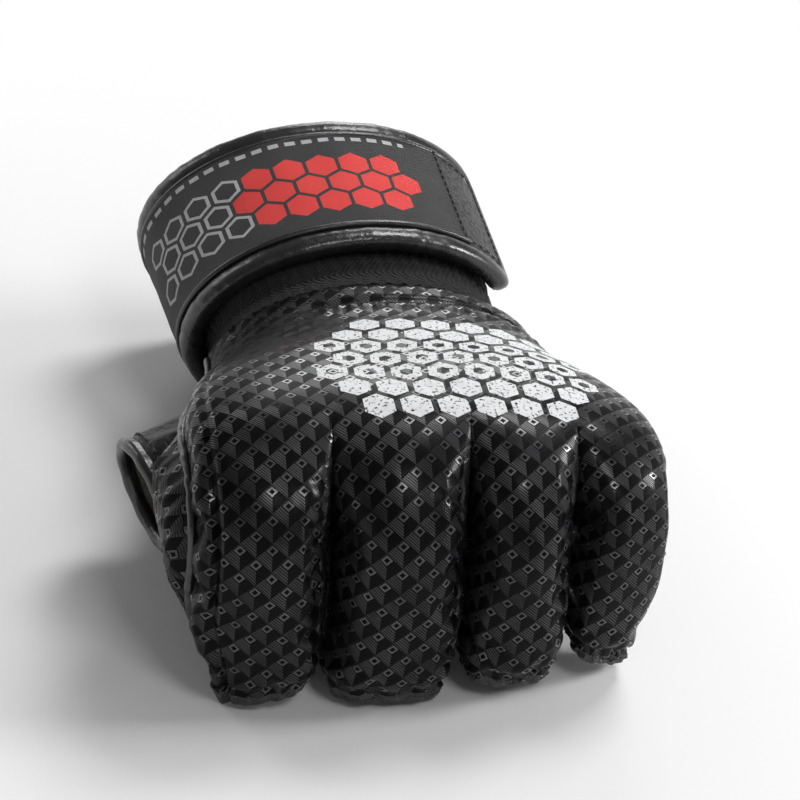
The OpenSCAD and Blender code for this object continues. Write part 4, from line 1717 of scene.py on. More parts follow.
@dataclass
class Bench:
    """Puts solids in place on the glove's bodies, with their finishes; sizes of the stitches in millimetres."""

    form: GloveForm
    sharp: float = 55.0
    stitch_pitch: float = 2.6
    stitch_length: float = 1.9
    stitch_points: int = 7
    stitch_taper: float = 0.7
    stitch_end: float = 0.02
    thread: float = 0.62
    thread_rise: float = 0.45
    thread_sides: int = 6
    made: list[str] = field(default_factory=list)

    def add(self, name: str, solid: Solid, finishes: Union[Finish, Sequence[Finish]], hold: Hold, slot: str,
            stands_for: Sequence[str] = ()) -> bpy.types.Object:
        """Adds one piece.

        Args:
            name: The piece's name.
            solid: Its form.
            finishes: Its finish, or several that the solid's marks pick from.
            hold: The body that it rides on, or a fold, which leaves it fixed as made.
            slot: Not used.
            stands_for: Nodes of the frame that it is shown for.

        Returns:
            The piece.
        """
        piece = bpy.data.objects.new(name, solid.mesh(name, self.form, self.sharp))
        bpy.context.scene.collection.objects.link(piece)
        for finish in [finishes] if isinstance(finishes, Finish) else finishes:
            piece.data.materials.append(finish.material())
        if isinstance(hold, Fold):
            start, end = (tuple(self.form.place(np.array(point))) for point in (hold.start, hold.end))
            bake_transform(piece)
        else:
            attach(piece, hold)
        if stands_for:
            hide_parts(*stands_for)
        self.made.append(name)
        log.info("%s: %d faces on %s", name, len(solid.faces), hold if isinstance(hold, str) else hold.second)
        return piece

    def stitches(self, name: str, path: Array, out: Array, hold: Hold, slot: str) -> bpy.types.Object:
        """Adds a row of stitches along a path.

        Args:
            name: The row's name.
            path: Points of the sewn line, on the surface.
            out: Way out of the surface at each point.
            hold: The body that carries the row, or a fold, which leaves it as made.
            slot: The record's material slot.

        Returns:
            The row.
        """
        run = path_length(path)
        share = np.linspace(-1.0, 1.0, self.stitch_points)
        rise = np.sqrt(np.clip(1.0 - share**2, self.stitch_end, 1.0))
        parts = []
        for middle in np.arange(self.stitch_pitch / 2, run[-1], self.stitch_pitch):
            reach = middle + share * self.stitch_length / 2
            at = np.stack([np.interp(reach, run, path[:, k]) for k in range(3)], -1)
            way = unit(np.array([np.interp(middle, run, out[:, k]) for k in range(3)]))
            bowed = at + way * (rise * self.thread * self.thread_rise)[:, None]
            parts.append(Solid.cord(tube(bowed, self.thread / 2 * rise**self.stitch_taper, way, self.thread_sides)))
        return self.add(name, Solid.joined(parts), SEAM_THREAD, hold, slot)


@dataclass
class Assembly:
    """A sub-assembly, which forms its own pieces and has the bench put them in place; sizes in millimetres."""

    bench: Bench

    @property
    def form(self) -> GloveForm:
        """The glove's form."""
        return self.bench.form

    def build(self) -> None:
        """Makes the pieces."""
        raise NotImplementedError


# Padded back and fingers


@dataclass
class BackPad(Assembly):
    """Padded back of the glove: embossed cover over foam, with a sewn channel near the wrist, and its lining."""

    columns: int = 170
    rows: int = 92
    fill: float = 0.9
    inner_side: float = 6.5
    rear_round: float = 5.0
    rear_fall: float = 4.5
    channel_place: float = 10.5
    channel: Ridge = Ridge(-1.5, 1.1)
    channel_start: Ramp = Ramp(-0.45, 0.3)
    roll_place: float = 4.0
    roll: Ridge = Ridge(0.5, 2.5)
    pucker: float = 0.3
    pucker_pitch: float = 3.1
    edge_seam: float = 12.0
    seam: Ridge = Ridge(-0.8, 0.7)
    uneven: Ruffle = Ruffle(0.3, 34.0, 5)
    uneven_run: float = 10.0

    def build(self) -> None:
        """Makes the pad and its lining."""
        form = self.form
        turns = even_turns(lambda t: form.back_point(t, 0.0), self.columns)
        t, q = np.meshgrid(turns, np.linspace(-form.back_length, form.bend_start, self.rows))
        flat = form.back_point(t, q)
        outer = form.back_point(t, q, sink=self.rear_drop(t, q) + form.groove_at(flat[..., 0], q))
        inner = form.back_point(t, q, form.foam_back, self.inner_side)
        lay = across_lay(flat, q, int(np.abs(turns).argmin()))
        outer = raised(outer, inner, self.relief(t, q, lay[..., 0]))
        pad = self.bench.add("back_pad", Solid.layer(outer, inner, lay), BACK_LEATHER, "hand", "pad_leather",
                             ("back_cover", "back_foam"))
        self.line(t, q, lay)

    def rear_drop(self, t: Array, q: Array) -> Array:
        """How far the cover rolls down to the wrist seam."""
        share = np.clip((-q - (self.form.back_length - self.rear_round)) / self.rear_round, 0.0, 1.0)
        return self.rear_fall * (1.0 - np.sqrt(1.0 - share**2)) * fade(t)

    def relief(self, t: Array, q: Array, u: Array) -> Array:
        """Height of the channel, the edge seam and the uneven foam over the plain form.

        Args:
            t: Turn across.
            q: Length along.
            u: Length across.

        Returns:
            The height at each place.
        """
        behind = q + self.form.back_length - self.channel_place
        pucker = 1.0 + self.pucker * np.sin(u * math.tau / self.pucker_pitch)
        channel = self.channel.at(behind) + self.roll.at(behind - self.roll_place) * pucker
        seam = self.seam.at(u - u[:, :1] - self.edge_seam)
        fading = fade(t) * smooth((self.form.bend_start - q) / self.uneven_run)
        return channel * self.channel_start.at(t) + seam + self.uneven.at(u, q) * fading

    def line(self, t: Array, q: Array, lay: Array) -> None:
        """Adds the lining under the foam.

        Args:
            t: Turn across, of the cover's grid.
            q: Length along.
            lay: Lay of the cover.
        """
        form, pick = self.form, (slice(None, None, 2),) * 2
        outer, inner = (form.back_point(t[pick], q[pick], form.foam_back + deep, self.inner_side + deep)
                        for deep in (form.layer_gap, form.layer_gap + form.lining))
        lining = self.bench.add("back_lining_cloth", Solid.layer(outer, inner, lay[pick]), LINING_CLOTH, "hand",
                                "lining", ("back_lining",))


@dataclass
class FingerPad(Assembly):
    """One finger's pad, which runs on from the padded back; its hem, its loop and its lining are made with it."""

    finger: Finger
    columns: int = 96
    rows: int = 96
    fill: float = 0.85
    side_inset: float = 1.5
    taper: float = 2.2
    taper_run: float = 13.0
    edge_roll: float = 4.2
    edge_share: float = 0.7
    edge_run: float = 14.0
    seam_turn: float = 0.62
    seam: Ridge = Ridge(-1.1, 0.7)
    seam_start: Ramp = Ramp(16.0, 16.0)
    no_seam: float = -20.0
    groove_mark: Pair = (0.2, 0.25)
    pucker: Ridge = Ridge(1.15, 2.625)
    pucker_place: float = 1.4
    pucker_end: float = 0.4
    pucker_pitch: float = 5.6
    pucker_drift: Ruffle = Ruffle(0.25, 17.0, 20)
    drift_stretch: float = 0.2
    scallop_power: float = 0.6
    scallop_level: float = 0.55
    wrinkle: Ruffle = Ruffle(0.3, 6.0, 30)
    wrinkle_start: Ramp = Ramp(0.0, 2.0)
    gather: Ruffle = Ruffle(0.35, 5.2, 40)
    gather_start: Ramp = Ramp(-10.0, 10.0)
    gather_stretch: float = 0.12
    tuck: Ridge = Ridge(-1.1, 1.6)
    tuck_place: float = 1.6
    uneven: Ruffle = Ruffle(0.25, 24.0, 50)
    uneven_run: float = 12.0
    edge_seam: float = 11.0
    edge_groove: Ridge = Ridge(-1.7, 1.3)
    edge_groove_run: float = 24.0
    seam_hold: Ridge = Ridge(0.9, 0.9)
    edge_hold: Ridge = Ridge(0.9, 1.2)
    bend_hold: float = 18.0
    foam_hold: float = 0.02
    slack: Ridge = Ridge(1.0, 3.5)
    slack_place: float = 3.2
    slack_start: Ramp = Ramp(18.0, 14.0)
    edge_slack: float = 0.6
    edge_slack_run: float = 4.0
    hem_slack: float = 0.8
    hem_slack_start: Ramp = Ramp(-9.0, 6.0)
    lining_grid: tuple[int, int] = (16, 18)

    @property
    def fold(self) -> Fold:
        """The bend between the padded back and this finger's pad."""
        middle = float(self.form.pad_middle(self.finger, self.form.bend_start)[0])
        ends = (tuple(self.form.bend(middle, q, 0.0)) for q in (self.form.bend_start, self.form.bend_end))
        return Fold("hand", self.finger.body, *ends)

    def build(self) -> None:
        """Makes the pad, hem, loop and groove lining."""
        form, finger, name = self.form, self.finger, self.finger.label
        turns = even_turns(lambda t: form.pad_point(finger, t, form.quarter), self.columns)
        t = np.broadcast_to(turns, (self.rows, self.columns))
        q = mix(form.bend_start, form.pad_end(finger, turns), np.linspace(0.0, 1.0, self.rows)[:, None])
        outer = form.pad_point(finger, t, q, self.sink(t, q))
        inner = form.pad_back_point(finger, t, q, self.side_inset)
        lay = across_lay(outer, q, int(np.abs(turns).argmin()))
        lay[..., 0] += self.middle_lay()
        u = lay[..., 0]
        beside = self.beyond_seam(turns, u)
        outer = raised(outer, inner, self.relief(t, q, u, beside))
        outer = PAD_CLOTH.settle(outer, inner, *self.sewn(t, q, u, beside))
        to_edge = np.clip(1.0 - (u[:, -1:] - u) / self.edge_roll, 0.0, 1.0)
        outer = mix(outer, inner, (self.rolled(q) * (1.0 - np.sqrt(1.0 - to_edge**2)))[..., None])
        past, opened = self.groove_mark
        marks = ((beside > past) & (form.groove.at(q) > opened)).astype(int)
        if finger is Finger.INDEX:
            marks[u - u[:, :1] < self.edge_seam] = 2
        solid = Solid.layer(outer, inner, lay, marks=marks[:-1, :-1], back=1)
        nodes = [f"{name}_{part}" for part in ("knuckle_cover", "knuckle_foam", "cover", "foam")]
        finishes = (PAD_LEATHER, GROOVE_LEATHER, SIDE_LEATHER)
        pad = self.bench.add(f"{name}_pad", solid, finishes, self.fold, "pad_leather", nodes)
        FingerHem(self.bench, finger, outer[-1], inner[-1], u[-1], turns).build()
        FingerLoop(self.bench, finger).build()
        self.line()

    def middle_lay(self, samples: int = 800) -> float:
        """Length across the padded back from its crest to this pad's middle.

        Args:
            samples: Number of points at which the back is measured.

        Returns:
            The length.
        """
        form = self.form
        start = form.back_point(even_turns(lambda t: form.back_point(t, form.bend_start), samples), form.bend_start)
        length = path_length(start)
        middle = float(form.pad_middle(self.finger, form.bend_start)[0])
        return np.interp(middle, start[:, 0], length) - length[int(np.abs(start[:, 0] - form.crest_x).argmin())]

    def past_bend(self, q: Array, run: float) -> Array:
        """Share reached on a run from the bend's start on."""
        return smooth((q - self.form.bend_start) / run)

    def rolled(self, q: Array) -> Array:
        """Share of the foam's depth by which the free edge on the little finger's side rolls in."""
        return (self.edge_share if self.finger is Finger.LITTLE else 0.0) * self.past_bend(q, self.edge_run)

    def sink(self, t: Array, q: Array) -> Array:
        """How far the pad's face draws in towards its hem."""
        share = np.clip((q - self.form.pad_end(self.finger, t) + self.taper_run) / self.taper_run, 0.0, 1.0)
        return self.taper * share**2

    def beyond_seam(self, turns: Array, u: Array) -> Array:
        """Distance past the seam on the pad's little-finger side, which the last finger lacks.

        Args:
            turns: Turn of each column.
            u: Length across.

        Returns:
            The distance at each place.
        """
        if self.finger is Finger.LITTLE:
            return np.full(u.shape, self.no_seam)
        column = int(np.abs(turns - self.seam_turn).argmin())
        return u - u[:, column : column + 1]

    def relief(self, t: Array, q: Array, u: Array, beside: Array) -> Array:
        """Height of the seams, puckers, gathers and uneven foam over the plain form.

        Args:
            t: Turn across.
            q: Length along.
            u: Length across.
            beside: Distance past the seam.

        Returns:
            The height at each place.
        """
        pick = self.finger.value
        phase = q / self.pucker_pitch + self.pucker_drift.at(u * self.drift_stretch, q, pick)
        scallop = np.abs(np.sin(math.pi * phase)) ** self.scallop_power - self.scallop_level
        swell = scallop * self.pucker.at(beside + self.pucker_place) * (beside < self.pucker_end)
        wrinkle = self.wrinkle.at(u, q, pick) * self.wrinkle_start.at(beside)
        past = q - self.form.pad_end(self.finger, t)
        pleats = self.gather_start.at(past) * self.gather.at(u, q * self.gather_stretch, pick)
        uneven = self.uneven.at(u, q, pick) * self.past_bend(q, self.uneven_run)
        height = (swell + self.seam.at(beside) + wrinkle) * self.seam_start.at(q)
        height = height + pleats + self.tuck.at(past + self.tuck_place) + uneven
        if self.finger is Finger.INDEX:
            deep = mix(0.5, 1.0, self.past_bend(q, self.edge_groove_run))
            height = height + deep * self.edge_groove.at(u - u[:, :1] - self.edge_seam)
        return height

    def sewn(self, t: Array, q: Array, u: Array, beside: Array) -> tuple[Array, Array]:
        """Where the cover is held by seams and foam, and where it is slack beside them.

        Args:
            t: Turn across.
            q: Length along.
            u: Length across.
            beside: Distance past the seam.

        Returns:
            The share held and the share slack at each place.
        """
        from_edge = u - u[:, :1]
        held = np.maximum(rim_of(q.shape), self.seam_hold.at(beside))
        held = np.maximum(held, 1.0 - self.past_bend(q, self.bend_hold))
        loose = self.slack.at(beside + self.slack_place) * self.slack_start.at(q)
        if self.finger is Finger.INDEX:
            held = np.maximum(held, self.edge_hold.at(from_edge - self.edge_seam))
            loose = np.maximum(loose, self.edge_slack * smooth((self.edge_seam - from_edge) / self.edge_slack_run))
        near_hem = self.hem_slack_start.at(q - self.form.pad_end(self.finger, t))
        loose = np.maximum(loose, self.hem_slack * near_hem)
        return np.maximum(held, self.foam_hold * (1.0 - loose)), loose

    def line(self) -> None:
        """Adds this finger's share of the lining at the bottoms of the grooves."""
        form = self.form
        low, high = form.borders[self.finger.value : self.finger.value + 2]
        low = low + (form.foam_side if self.finger is Finger.INDEX else 0.0)
        high = high - (2 * form.foam_side if self.finger is Finger.LITTLE else 0.0)
        wide, long = self.lining_grid
        x, q = np.meshgrid(np.linspace(low, high, wide), np.linspace(form.bend_start, form.bend_end, long))
        depth = form.crest_fall(x) + form.groove_depth + form.layer_gap
        solid = Solid.layer(form.bend(x, q, depth), form.bend(x, q, depth + form.lining), packed(x, q))
        nodes = ("knuckle_lining",) if self.finger is Finger.MIDDLE else ()
        self.bench.add(f"{self.finger.label}_groove_lining", solid, GROOVE_LINING, self.fold, "lining", nodes)


@dataclass
class FingerHem(Assembly):
    """The gathered hem that closes the lower end of one finger's pad, with a rolled lip.

    It is sewn to the pad's lower outline, whose rim in front and back behind have a point at each turn across, and
    along is the length along the rim.
    """

    finger: Finger
    rim: Array
    back: Array
    along: Array
    turns: Array
    rows: int = 20
    fill: float = 0.4
    folds: Ruffle = Ruffle(0.7, 8.5, 60)
    fine_folds: Ruffle = Ruffle(0.2, 3.6, 67)
    calm: Ramp = Ramp(1.0, -0.22)
    crumple: float = 1.1
    crumple_pitch: float = 6.0
    crumple_level: float = 0.45
    crumple_seed: int = 65
    least_ruffle: float = 0.3
    corner: Ramp = Ramp(0.7, 0.3)
    arch: float = 1.0
    heel: float = 2.2
    lip: float = 0.6
    lip_start: float = 0.66
    lip_bow: float = 0.4
    fold_drop: float = 0.3
    fold_swell: float = 0.15
    fold_depth: float = 0.35
    draw: float = 1.0
    draw_power: float = 1.5
    back_power: float = 0.7
    turned_in: float = 3.0

    def build(self) -> None:
        """Makes the hem."""
        form, pick, name = self.form, self.finger.value, self.finger.label
        rim, back, along, turns = self.rim, self.back, self.along, self.turns
        level = np.linspace(0.0, 1.0, self.rows)[:, None]
        middle = (rim.mean(axis=0) + back.mean(axis=0)) / 2
        inward = unit((middle - rim) * np.array([1.0, 1.0, 0.0]))
        calm, corner = self.calm.at(np.abs(turns)), self.corner.at(np.abs(turns))
        folds = (self.folds.at(along, pick=pick) + self.fine_folds.at(along, pick=pick)) * calm
        ruffle = mix(self.least_ruffle, 1.0, pick / Finger.LITTLE.value) * calm
        creased = creases(along, self.crumple_pitch * level, self.crumple_pitch, self.crumple_seed + pick)
        crumple = self.crumple * ruffle * (creased - self.crumple_level)
        foot = form.hem_level(self.finger, turns) + self.arch * (1.0 - turns**2) + self.fold_drop * folds
        foot = foot + (self.heel + self.arch) * corner
        lip = self.lip * (1.0 + self.fold_swell * folds)
        down = np.minimum(level / self.lip_start, 1.0)
        roll = math.pi * np.clip((level - self.lip_start) / (1.0 - self.lip_start), 0.0, 1.0)
        draw = self.draw * down**self.draw_power + lip * (1.0 - np.cos(roll)) - self.fold_depth * folds * down
        draw = draw - crumple * np.sin(math.pi * down) - self.lip_bow * lip * np.sin(roll)
        outer = rim[None] + inward[None] * draw[..., None]
        outer[..., 2] = mix(rim[:, 2], foot + lip, down) - lip * np.sin(roll)
        inner = np.repeat(back[None], self.rows, axis=0)
        inner[..., 2] = mix(rim[:, 2], foot + self.lip + self.heel * (1.0 - corner), down**self.back_power)
        solid = Solid.layer(outer, inner, packed(along, level * (form.hem_height + self.turned_in)), back=1)
        hem = self.bench.add(f"{name}_gathered_hem", solid, (HEM_LEATHER, GROOVE_LINING), self.finger.body,
                             "hem_leather", (f"{name}_hem",))


@dataclass
class FingerLoop(Assembly):
    """The loop behind one finger's pad, with a turned hem at both ends."""

    finger: Finger
    sides: int = 96
    rows: int = 30
    wall: Ramp = Ramp(-0.4, -0.5)
    wall_front: Ramp = Ramp(0.9, -0.8)
    wall_foot: Ramp = Ramp(3.0, 26.0)
    draw: float = 0.7
    draw_foot: Ramp = Ramp(26.0, -22.0)
    turned: float = 0.45
    turning: Ramp = Ramp(3.4, -0.8)
    wrinkle: Ruffle = Ruffle(0.3, 7.0, 80)
    wrinkle_span: float = 14.0
    crinkle: Ruffle = Ruffle(0.12, 3.0, 85)
    behind: Ramp = Ramp(-0.75, 0.5)

    def build(self) -> None:
        """Makes the loop."""
        form, pick, name = self.form, self.finger.value, self.finger.label
        angle = round_steps(self.sides, 360.0)[:, None]
        level = np.linspace(0.0, 1.0, self.rows)[None]
        outer, inner = (form.loop_point(self.finger, angle, level, inset) for inset in (0.0, form.loop_wall))
        if self.finger is Finger.INDEX:
            swell = self.thumb_swell(angle, outer)
            outer[..., 0] += swell
            inner[..., 0] += swell
        z = outer[..., 2]
        lay = round_lay(outer)
        lay[..., 1] = closed(z)
        turned = self.turned * (self.turning.at(z[:, :1] - z) + self.turning.at(z - z[:, -1:]))
        turn = np.radians(angle)
        wrinkle = self.wrinkle.at(np.cos(turn) * self.wrinkle_span, z, pick) + self.crinkle.at(lay[:-1, :, 0], z, pick)
        outer = raised(outer, inner, (turned + wrinkle) * self.behind.at(np.sin(turn)), looped=True)
        self.bench.add(f"{name}_sleeve", Solid.layer(outer, inner, lay, looped=True, back=1),
                       (SIDE_LEATHER, GROOVE_LINING), self.finger.body, "finger_leather", (f"{name}_loop",))

    def thumb_swell(self, angle: Array, face: Array) -> Array:
        """How far the wall on the thumb side stands out, and draws in towards the hem.

        Args:
            angle: Angle round the loop.
            face: Points of the loop's plain face.

        Returns:
            The move in x at each point.
        """
        form = self.form
        wide, deep = power_circle(angle, form.loop_square)
        y, z = face[..., 1], face[..., 2]
        slack = self.wall.at(wide) * self.wall_front.at(deep) * self.wall_foot.at(z)
        bulge = form.side_bulge(y - (form.thumb_side_drop - form.knuckle_radius), y) * slack
        return self.draw * form.thumb_draw * self.wall.at(wide) * self.draw_foot.at(z) - bulge


# Shell under the padded back


@dataclass(frozen=True)
class Panel:
    """One panel of the shell: its names, its angles round the shell, its front edge and its leather."""

    name: str
    node: str
    slot: str
    span: Pair
    front: float
    finish: Finish
    bulged: bool = False


@dataclass
class SideShell(Assembly):
    """Side and palm panels, the gussets at the knuckle bend, the welts along the pad and the palm's piping."""

    grid: int = 62
    palm_from: float = 52.0
    palm_to: float = 128.0
    thumb_front: float = 10.0
    little_front: float = 16.0
    palm_front: float = 24.0
    swell_run: float = 26.0
    slack_run: float = 8.0
    crinkle: float = 0.5
    crinkle_field: Ruffle = Ruffle(0.6, 9.0, 41)
    crease_pitch: float = 14.0
    crease_seed: int = 43
    crease_level: float = 0.4
    panel_hold: float = 0.02
    way_inset: float = 0.4
    way_reach: float = 20.0
    gusset_inset: float = 0.8
    gusset_grid: tuple[int, int, int] = (12, 30, 22)
    gusset_swell: Pair = (0.5, 0.45)
    gusset_folds: int = 7
    gusset_lean: float = 2.0
    gusset_fold: tuple[Pair, Pair] = ((6.0, 40.0), (-22.0, 30.0))
    welt: float = 1.15
    welt_sides: int = 10
    welt_points: tuple[int, int] = (70, 80)
    welt_start: float = 2.0
    welt_seat: float = 0.43
    welt_seat_run: Ramp = Ramp(42.0, 20.0)
    welt_shift: Pair = (-0.3, -0.8)
    welt_out: float = 0.5
    welt_end_run: float = 9.0
    welt_end: Pair = (1.6, 0.8)
    welt_end_size: float = 0.35
    welt_lumps: Ruffle = Ruffle(0.1, 5.0, 90)
    piping: float = 3.2
    piping_ends: Pair = (2.0, 6.0)
    piping_points: int = 60
    piping_gap: float = 0.1
    piping_lumps: Ruffle = Ruffle(0.06, 6.0, 71)
    stitch_place: float = 2.4
    stitch_depths: Pair = (-0.2, 2.0)

    def build(self) -> None:
        """Makes all the shell's pieces."""
        self.add_panel(Panel("thumb_side_panel", "radial_panel", "side_leather", (self.palm_to, 180.0),
                             self.thumb_front, SIDE_LEATHER, bulged=True))
        self.add_panel(Panel("little_side_panel", "ulnar_panel", "side_leather", (0.0, self.palm_from),
                             self.little_front, SIDE_LEATHER))
        self.add_panel(Panel("palm_leather_panel", "palm_panel", "palm_leather", (self.palm_from, self.palm_to),
                             self.palm_front, PALM_LEATHER))
        self.add_gusset(Side.THUMB, "radial_gusset", self.thumb_front)
        self.add_gusset(Side.LITTLE, "ulnar_gusset", self.little_front)
        for side in Side:
            self.add_welts(side)
        self.add_piping()

    def add_panel(self, panel: Panel) -> None:
        """Adds one panel of the shell, with the thumb's way cut out of it.

        Args:
            panel: What the panel is like.
        """
        form, (low, high) = self.form, panel.span
        run = np.linspace(-form.back_length, -panel.front, self.grid)
        angle, q = np.meshgrid(np.linspace(low, high, self.grid), run)
        outer, inner = form.shell_point(angle, q, 0.0), form.shell_point(angle, q, form.panel)
        if panel.bulged:
            below = form.back_point(-1.0, q)[..., 2] - outer[..., 2]
            swell = form.side_bulge(below, outer[..., 1]) * smooth((angle - low) / self.swell_run)
            outer[..., 0] -= swell
            inner[..., 0] -= swell
        lay = across_lay(outer, q)
        slack = smooth((angle - low) / self.slack_run) * smooth((high - angle) / self.slack_run)
        creased = creases(lay[..., 0], q, self.crease_pitch, self.crease_seed) - self.crease_level
        outer = raised(outer, inner, self.crinkle * slack * (self.crinkle_field.at(lay[..., 0], q) + creased))
        outer = WALL_CLOTH.settle(outer, inner, np.maximum(rim_of(q.shape), self.panel_hold), slack)
        keep, outer, inner = self.cut_thumb_way(outer, inner)
        self.bench.add(panel.name, Solid.layer(outer, inner, lay, keep=keep, back=1, rim=0),
                       (panel.finish, LINING_CLOTH), "hand", panel.slot, (panel.node,))

    def cut_thumb_way(self, outer: Array, inner: Array) -> tuple[Array, Array, Array]:
        """Leaves the thumb's way out of a panel, and draws the cut's edge on to the way's own circle.

        Args:
            outer: Points of the outer face.
            inner: Points of the inner face.

        Returns:
            Which cells stay, and both faces with the cut's edge in place.
        """
        form = self.form
        root, out, _, _ = form.thumb_axes()
        radius = form.thumb_radius + form.thumb_flare + form.loop_wall - self.way_inset
        off = outer - root
        off = off - (off @ out)[..., None] * out
        near = (np.linalg.norm(off, axis=-1) < radius) & (outer[..., 0] < root[0] + self.way_reach)
        hole = cornered(near).all(axis=2)
        touches, stays = np.zeros(near.shape, bool), np.zeros(near.shape, bool)
        for corner in CORNERS:
            touches[corner] |= hole
            stays[corner] |= ~hole
        shift = (unit(off) * radius - off) * (touches & stays)[..., None]
        return ~hole, outer + shift, inner + shift

    def add_gusset(self, side: Side, node: str, front: float) -> None:
        """Adds the soft wall that closes one end of the knuckle bend.

        Args:
            side: Which end of the knuckles.
            node: The node that it stands for.
            front: Distance from the bending line to the side panel.
        """
        form, thumb = self.form, side is Side.THUMB
        drop = form.thumb_side_drop if thumb else form.little_side_drop
        radius = form.knuckle_radius - drop - form.seam_gap
        edge = form.borders[0 if thumb else -1] - side.value * self.gusset_inset
        before, over, rows = self.gusset_grid
        straight = np.linspace(front - form.seam_gap, 0.0, before)[:-1]
        lifted = form.back_point(float(side.value), -straight)[..., 2] - form.seam_gap
        bend = np.radians(np.linspace(0.0, 90.0, over))
        top = np.concatenate([packed(straight, lifted),
                              packed(-radius * np.sin(bend), form.hinge_height + radius * np.cos(bend))])
        foot = form.hinge_height - form.loop_top_drop + form.seam_gap
        bottom = packed(np.linspace(straight[0], -radius, len(top)), foot)
        level = np.linspace(0.0, 1.0, rows)[None]
        wall = bottom[:, None] + (top - bottom)[:, None] * level[..., None]
        fan = math.tau * self.gusset_folds * np.linspace(0.0, 1.0, len(top))[:, None]
        even, wavy = self.gusset_swell
        swell = np.sin(math.pi * level) * (even + wavy * np.sin(fan + self.gusset_lean * level))
        if thumb:
            swell = swell + form.side_bulge(np.linalg.norm(top[:, None] - wall, axis=-1), wall[..., 0])
        outer = packed(edge + side.value * swell, wall[..., 0], wall[..., 1])
        inner = outer - np.array([side.value * form.panel, 0.0, 0.0])
        fold = Fold("hand", side.finger.body, *((edge, *place) for place in self.gusset_fold))
        self.bench.add(f"{side.label}_gusset", Solid.layer(outer, inner, wall), SIDE_LEATHER, fold, "side_leather",
                       (node,))

    def add_welts(self, side: Side) -> None:
        """Adds the corded welt along one edge of the pad, over the padded back and over the finger.

        Args:
            side: Which edge.
        """
        form, finger, way = self.form, side.finger, float(side.value)
        pad = FingerPad(self.bench, finger)
        cut, more = self.welt_points
        back = form.back_point(way, np.linspace(-form.back_length + self.welt_start, form.bend_start, cut))
        turn = np.full(more, way)
        down = np.linspace(form.bend_start, float(form.pad_end(finger, way)), more)
        rolled = pad.rolled(down)
        seat = rolled * mix(self.welt_seat, 1.0, self.welt_seat_run.at(down))
        front = mix(form.pad_point(finger, turn, down, pad.sink(turn, down)),
                    form.pad_back_point(finger, turn, down, pad.side_inset), seat[:, None])
        whole = np.concatenate([back, front[1:]])
        whole[:, 0] += self.welt_shift[0 if side is Side.THUMB else 1]
        whole[cut:, 0] += self.welt_out * rolled[1:]
        length = path_length(whole)
        ending = smooth((length[-1] - length) / self.welt_end_run)
        inwards, behind = self.welt_end
        whole = whole + (1.0 - ending)[:, None] * np.array([-inwards * way, behind, 0.0])
        lumps = 1.0 + self.welt_lumps.at(length, pick=finger.value)
        radius = self.welt * mix(self.welt_end_size, 1.0, ending) * lumps
        rings = tube(whole, radius, (1.0, 0.0, 0.0), self.welt_sides)
        self.bench.add(f"{side.label}_back_welt", Solid.cord(rings[:cut]), ROLLED_LEATHER, "hand", "binding")
        self.bench.add(f"{side.label}_finger_welt", Solid.cord(rings[cut - 1 :]), ROLLED_LEATHER, pad.fold, "binding")

    def add_piping(self) -> None:
        """Adds the piping along the open palm's edge, and a row of stitches behind it."""
        form, (after, before) = self.form, self.piping_ends
        angles = np.linspace(self.palm_from + after, self.palm_to - before, self.piping_points)
        edge = form.shell_point(angles, -self.palm_front, form.panel / 2)
        middle = edge - np.array([0.0, self.piping / 2 + self.piping_gap, 0.0])
        radius = self.piping / 2 * (1.0 + self.piping_lumps.at(path_length(middle)))
        self.bench.add("palm_piping", Solid.cord(tube(middle, radius, (0.0, 1.0, 0.0))), ROLLED_LEATHER, "hand",
                       "binding", ("palm_binding",))
        sewn, under = (form.shell_point(angles, -self.palm_front - self.stitch_place, deep)
                       for deep in self.stitch_depths)
        self.bench.stitches("palm_stitches", sewn, unit(sewn - under), "hand", "binding")


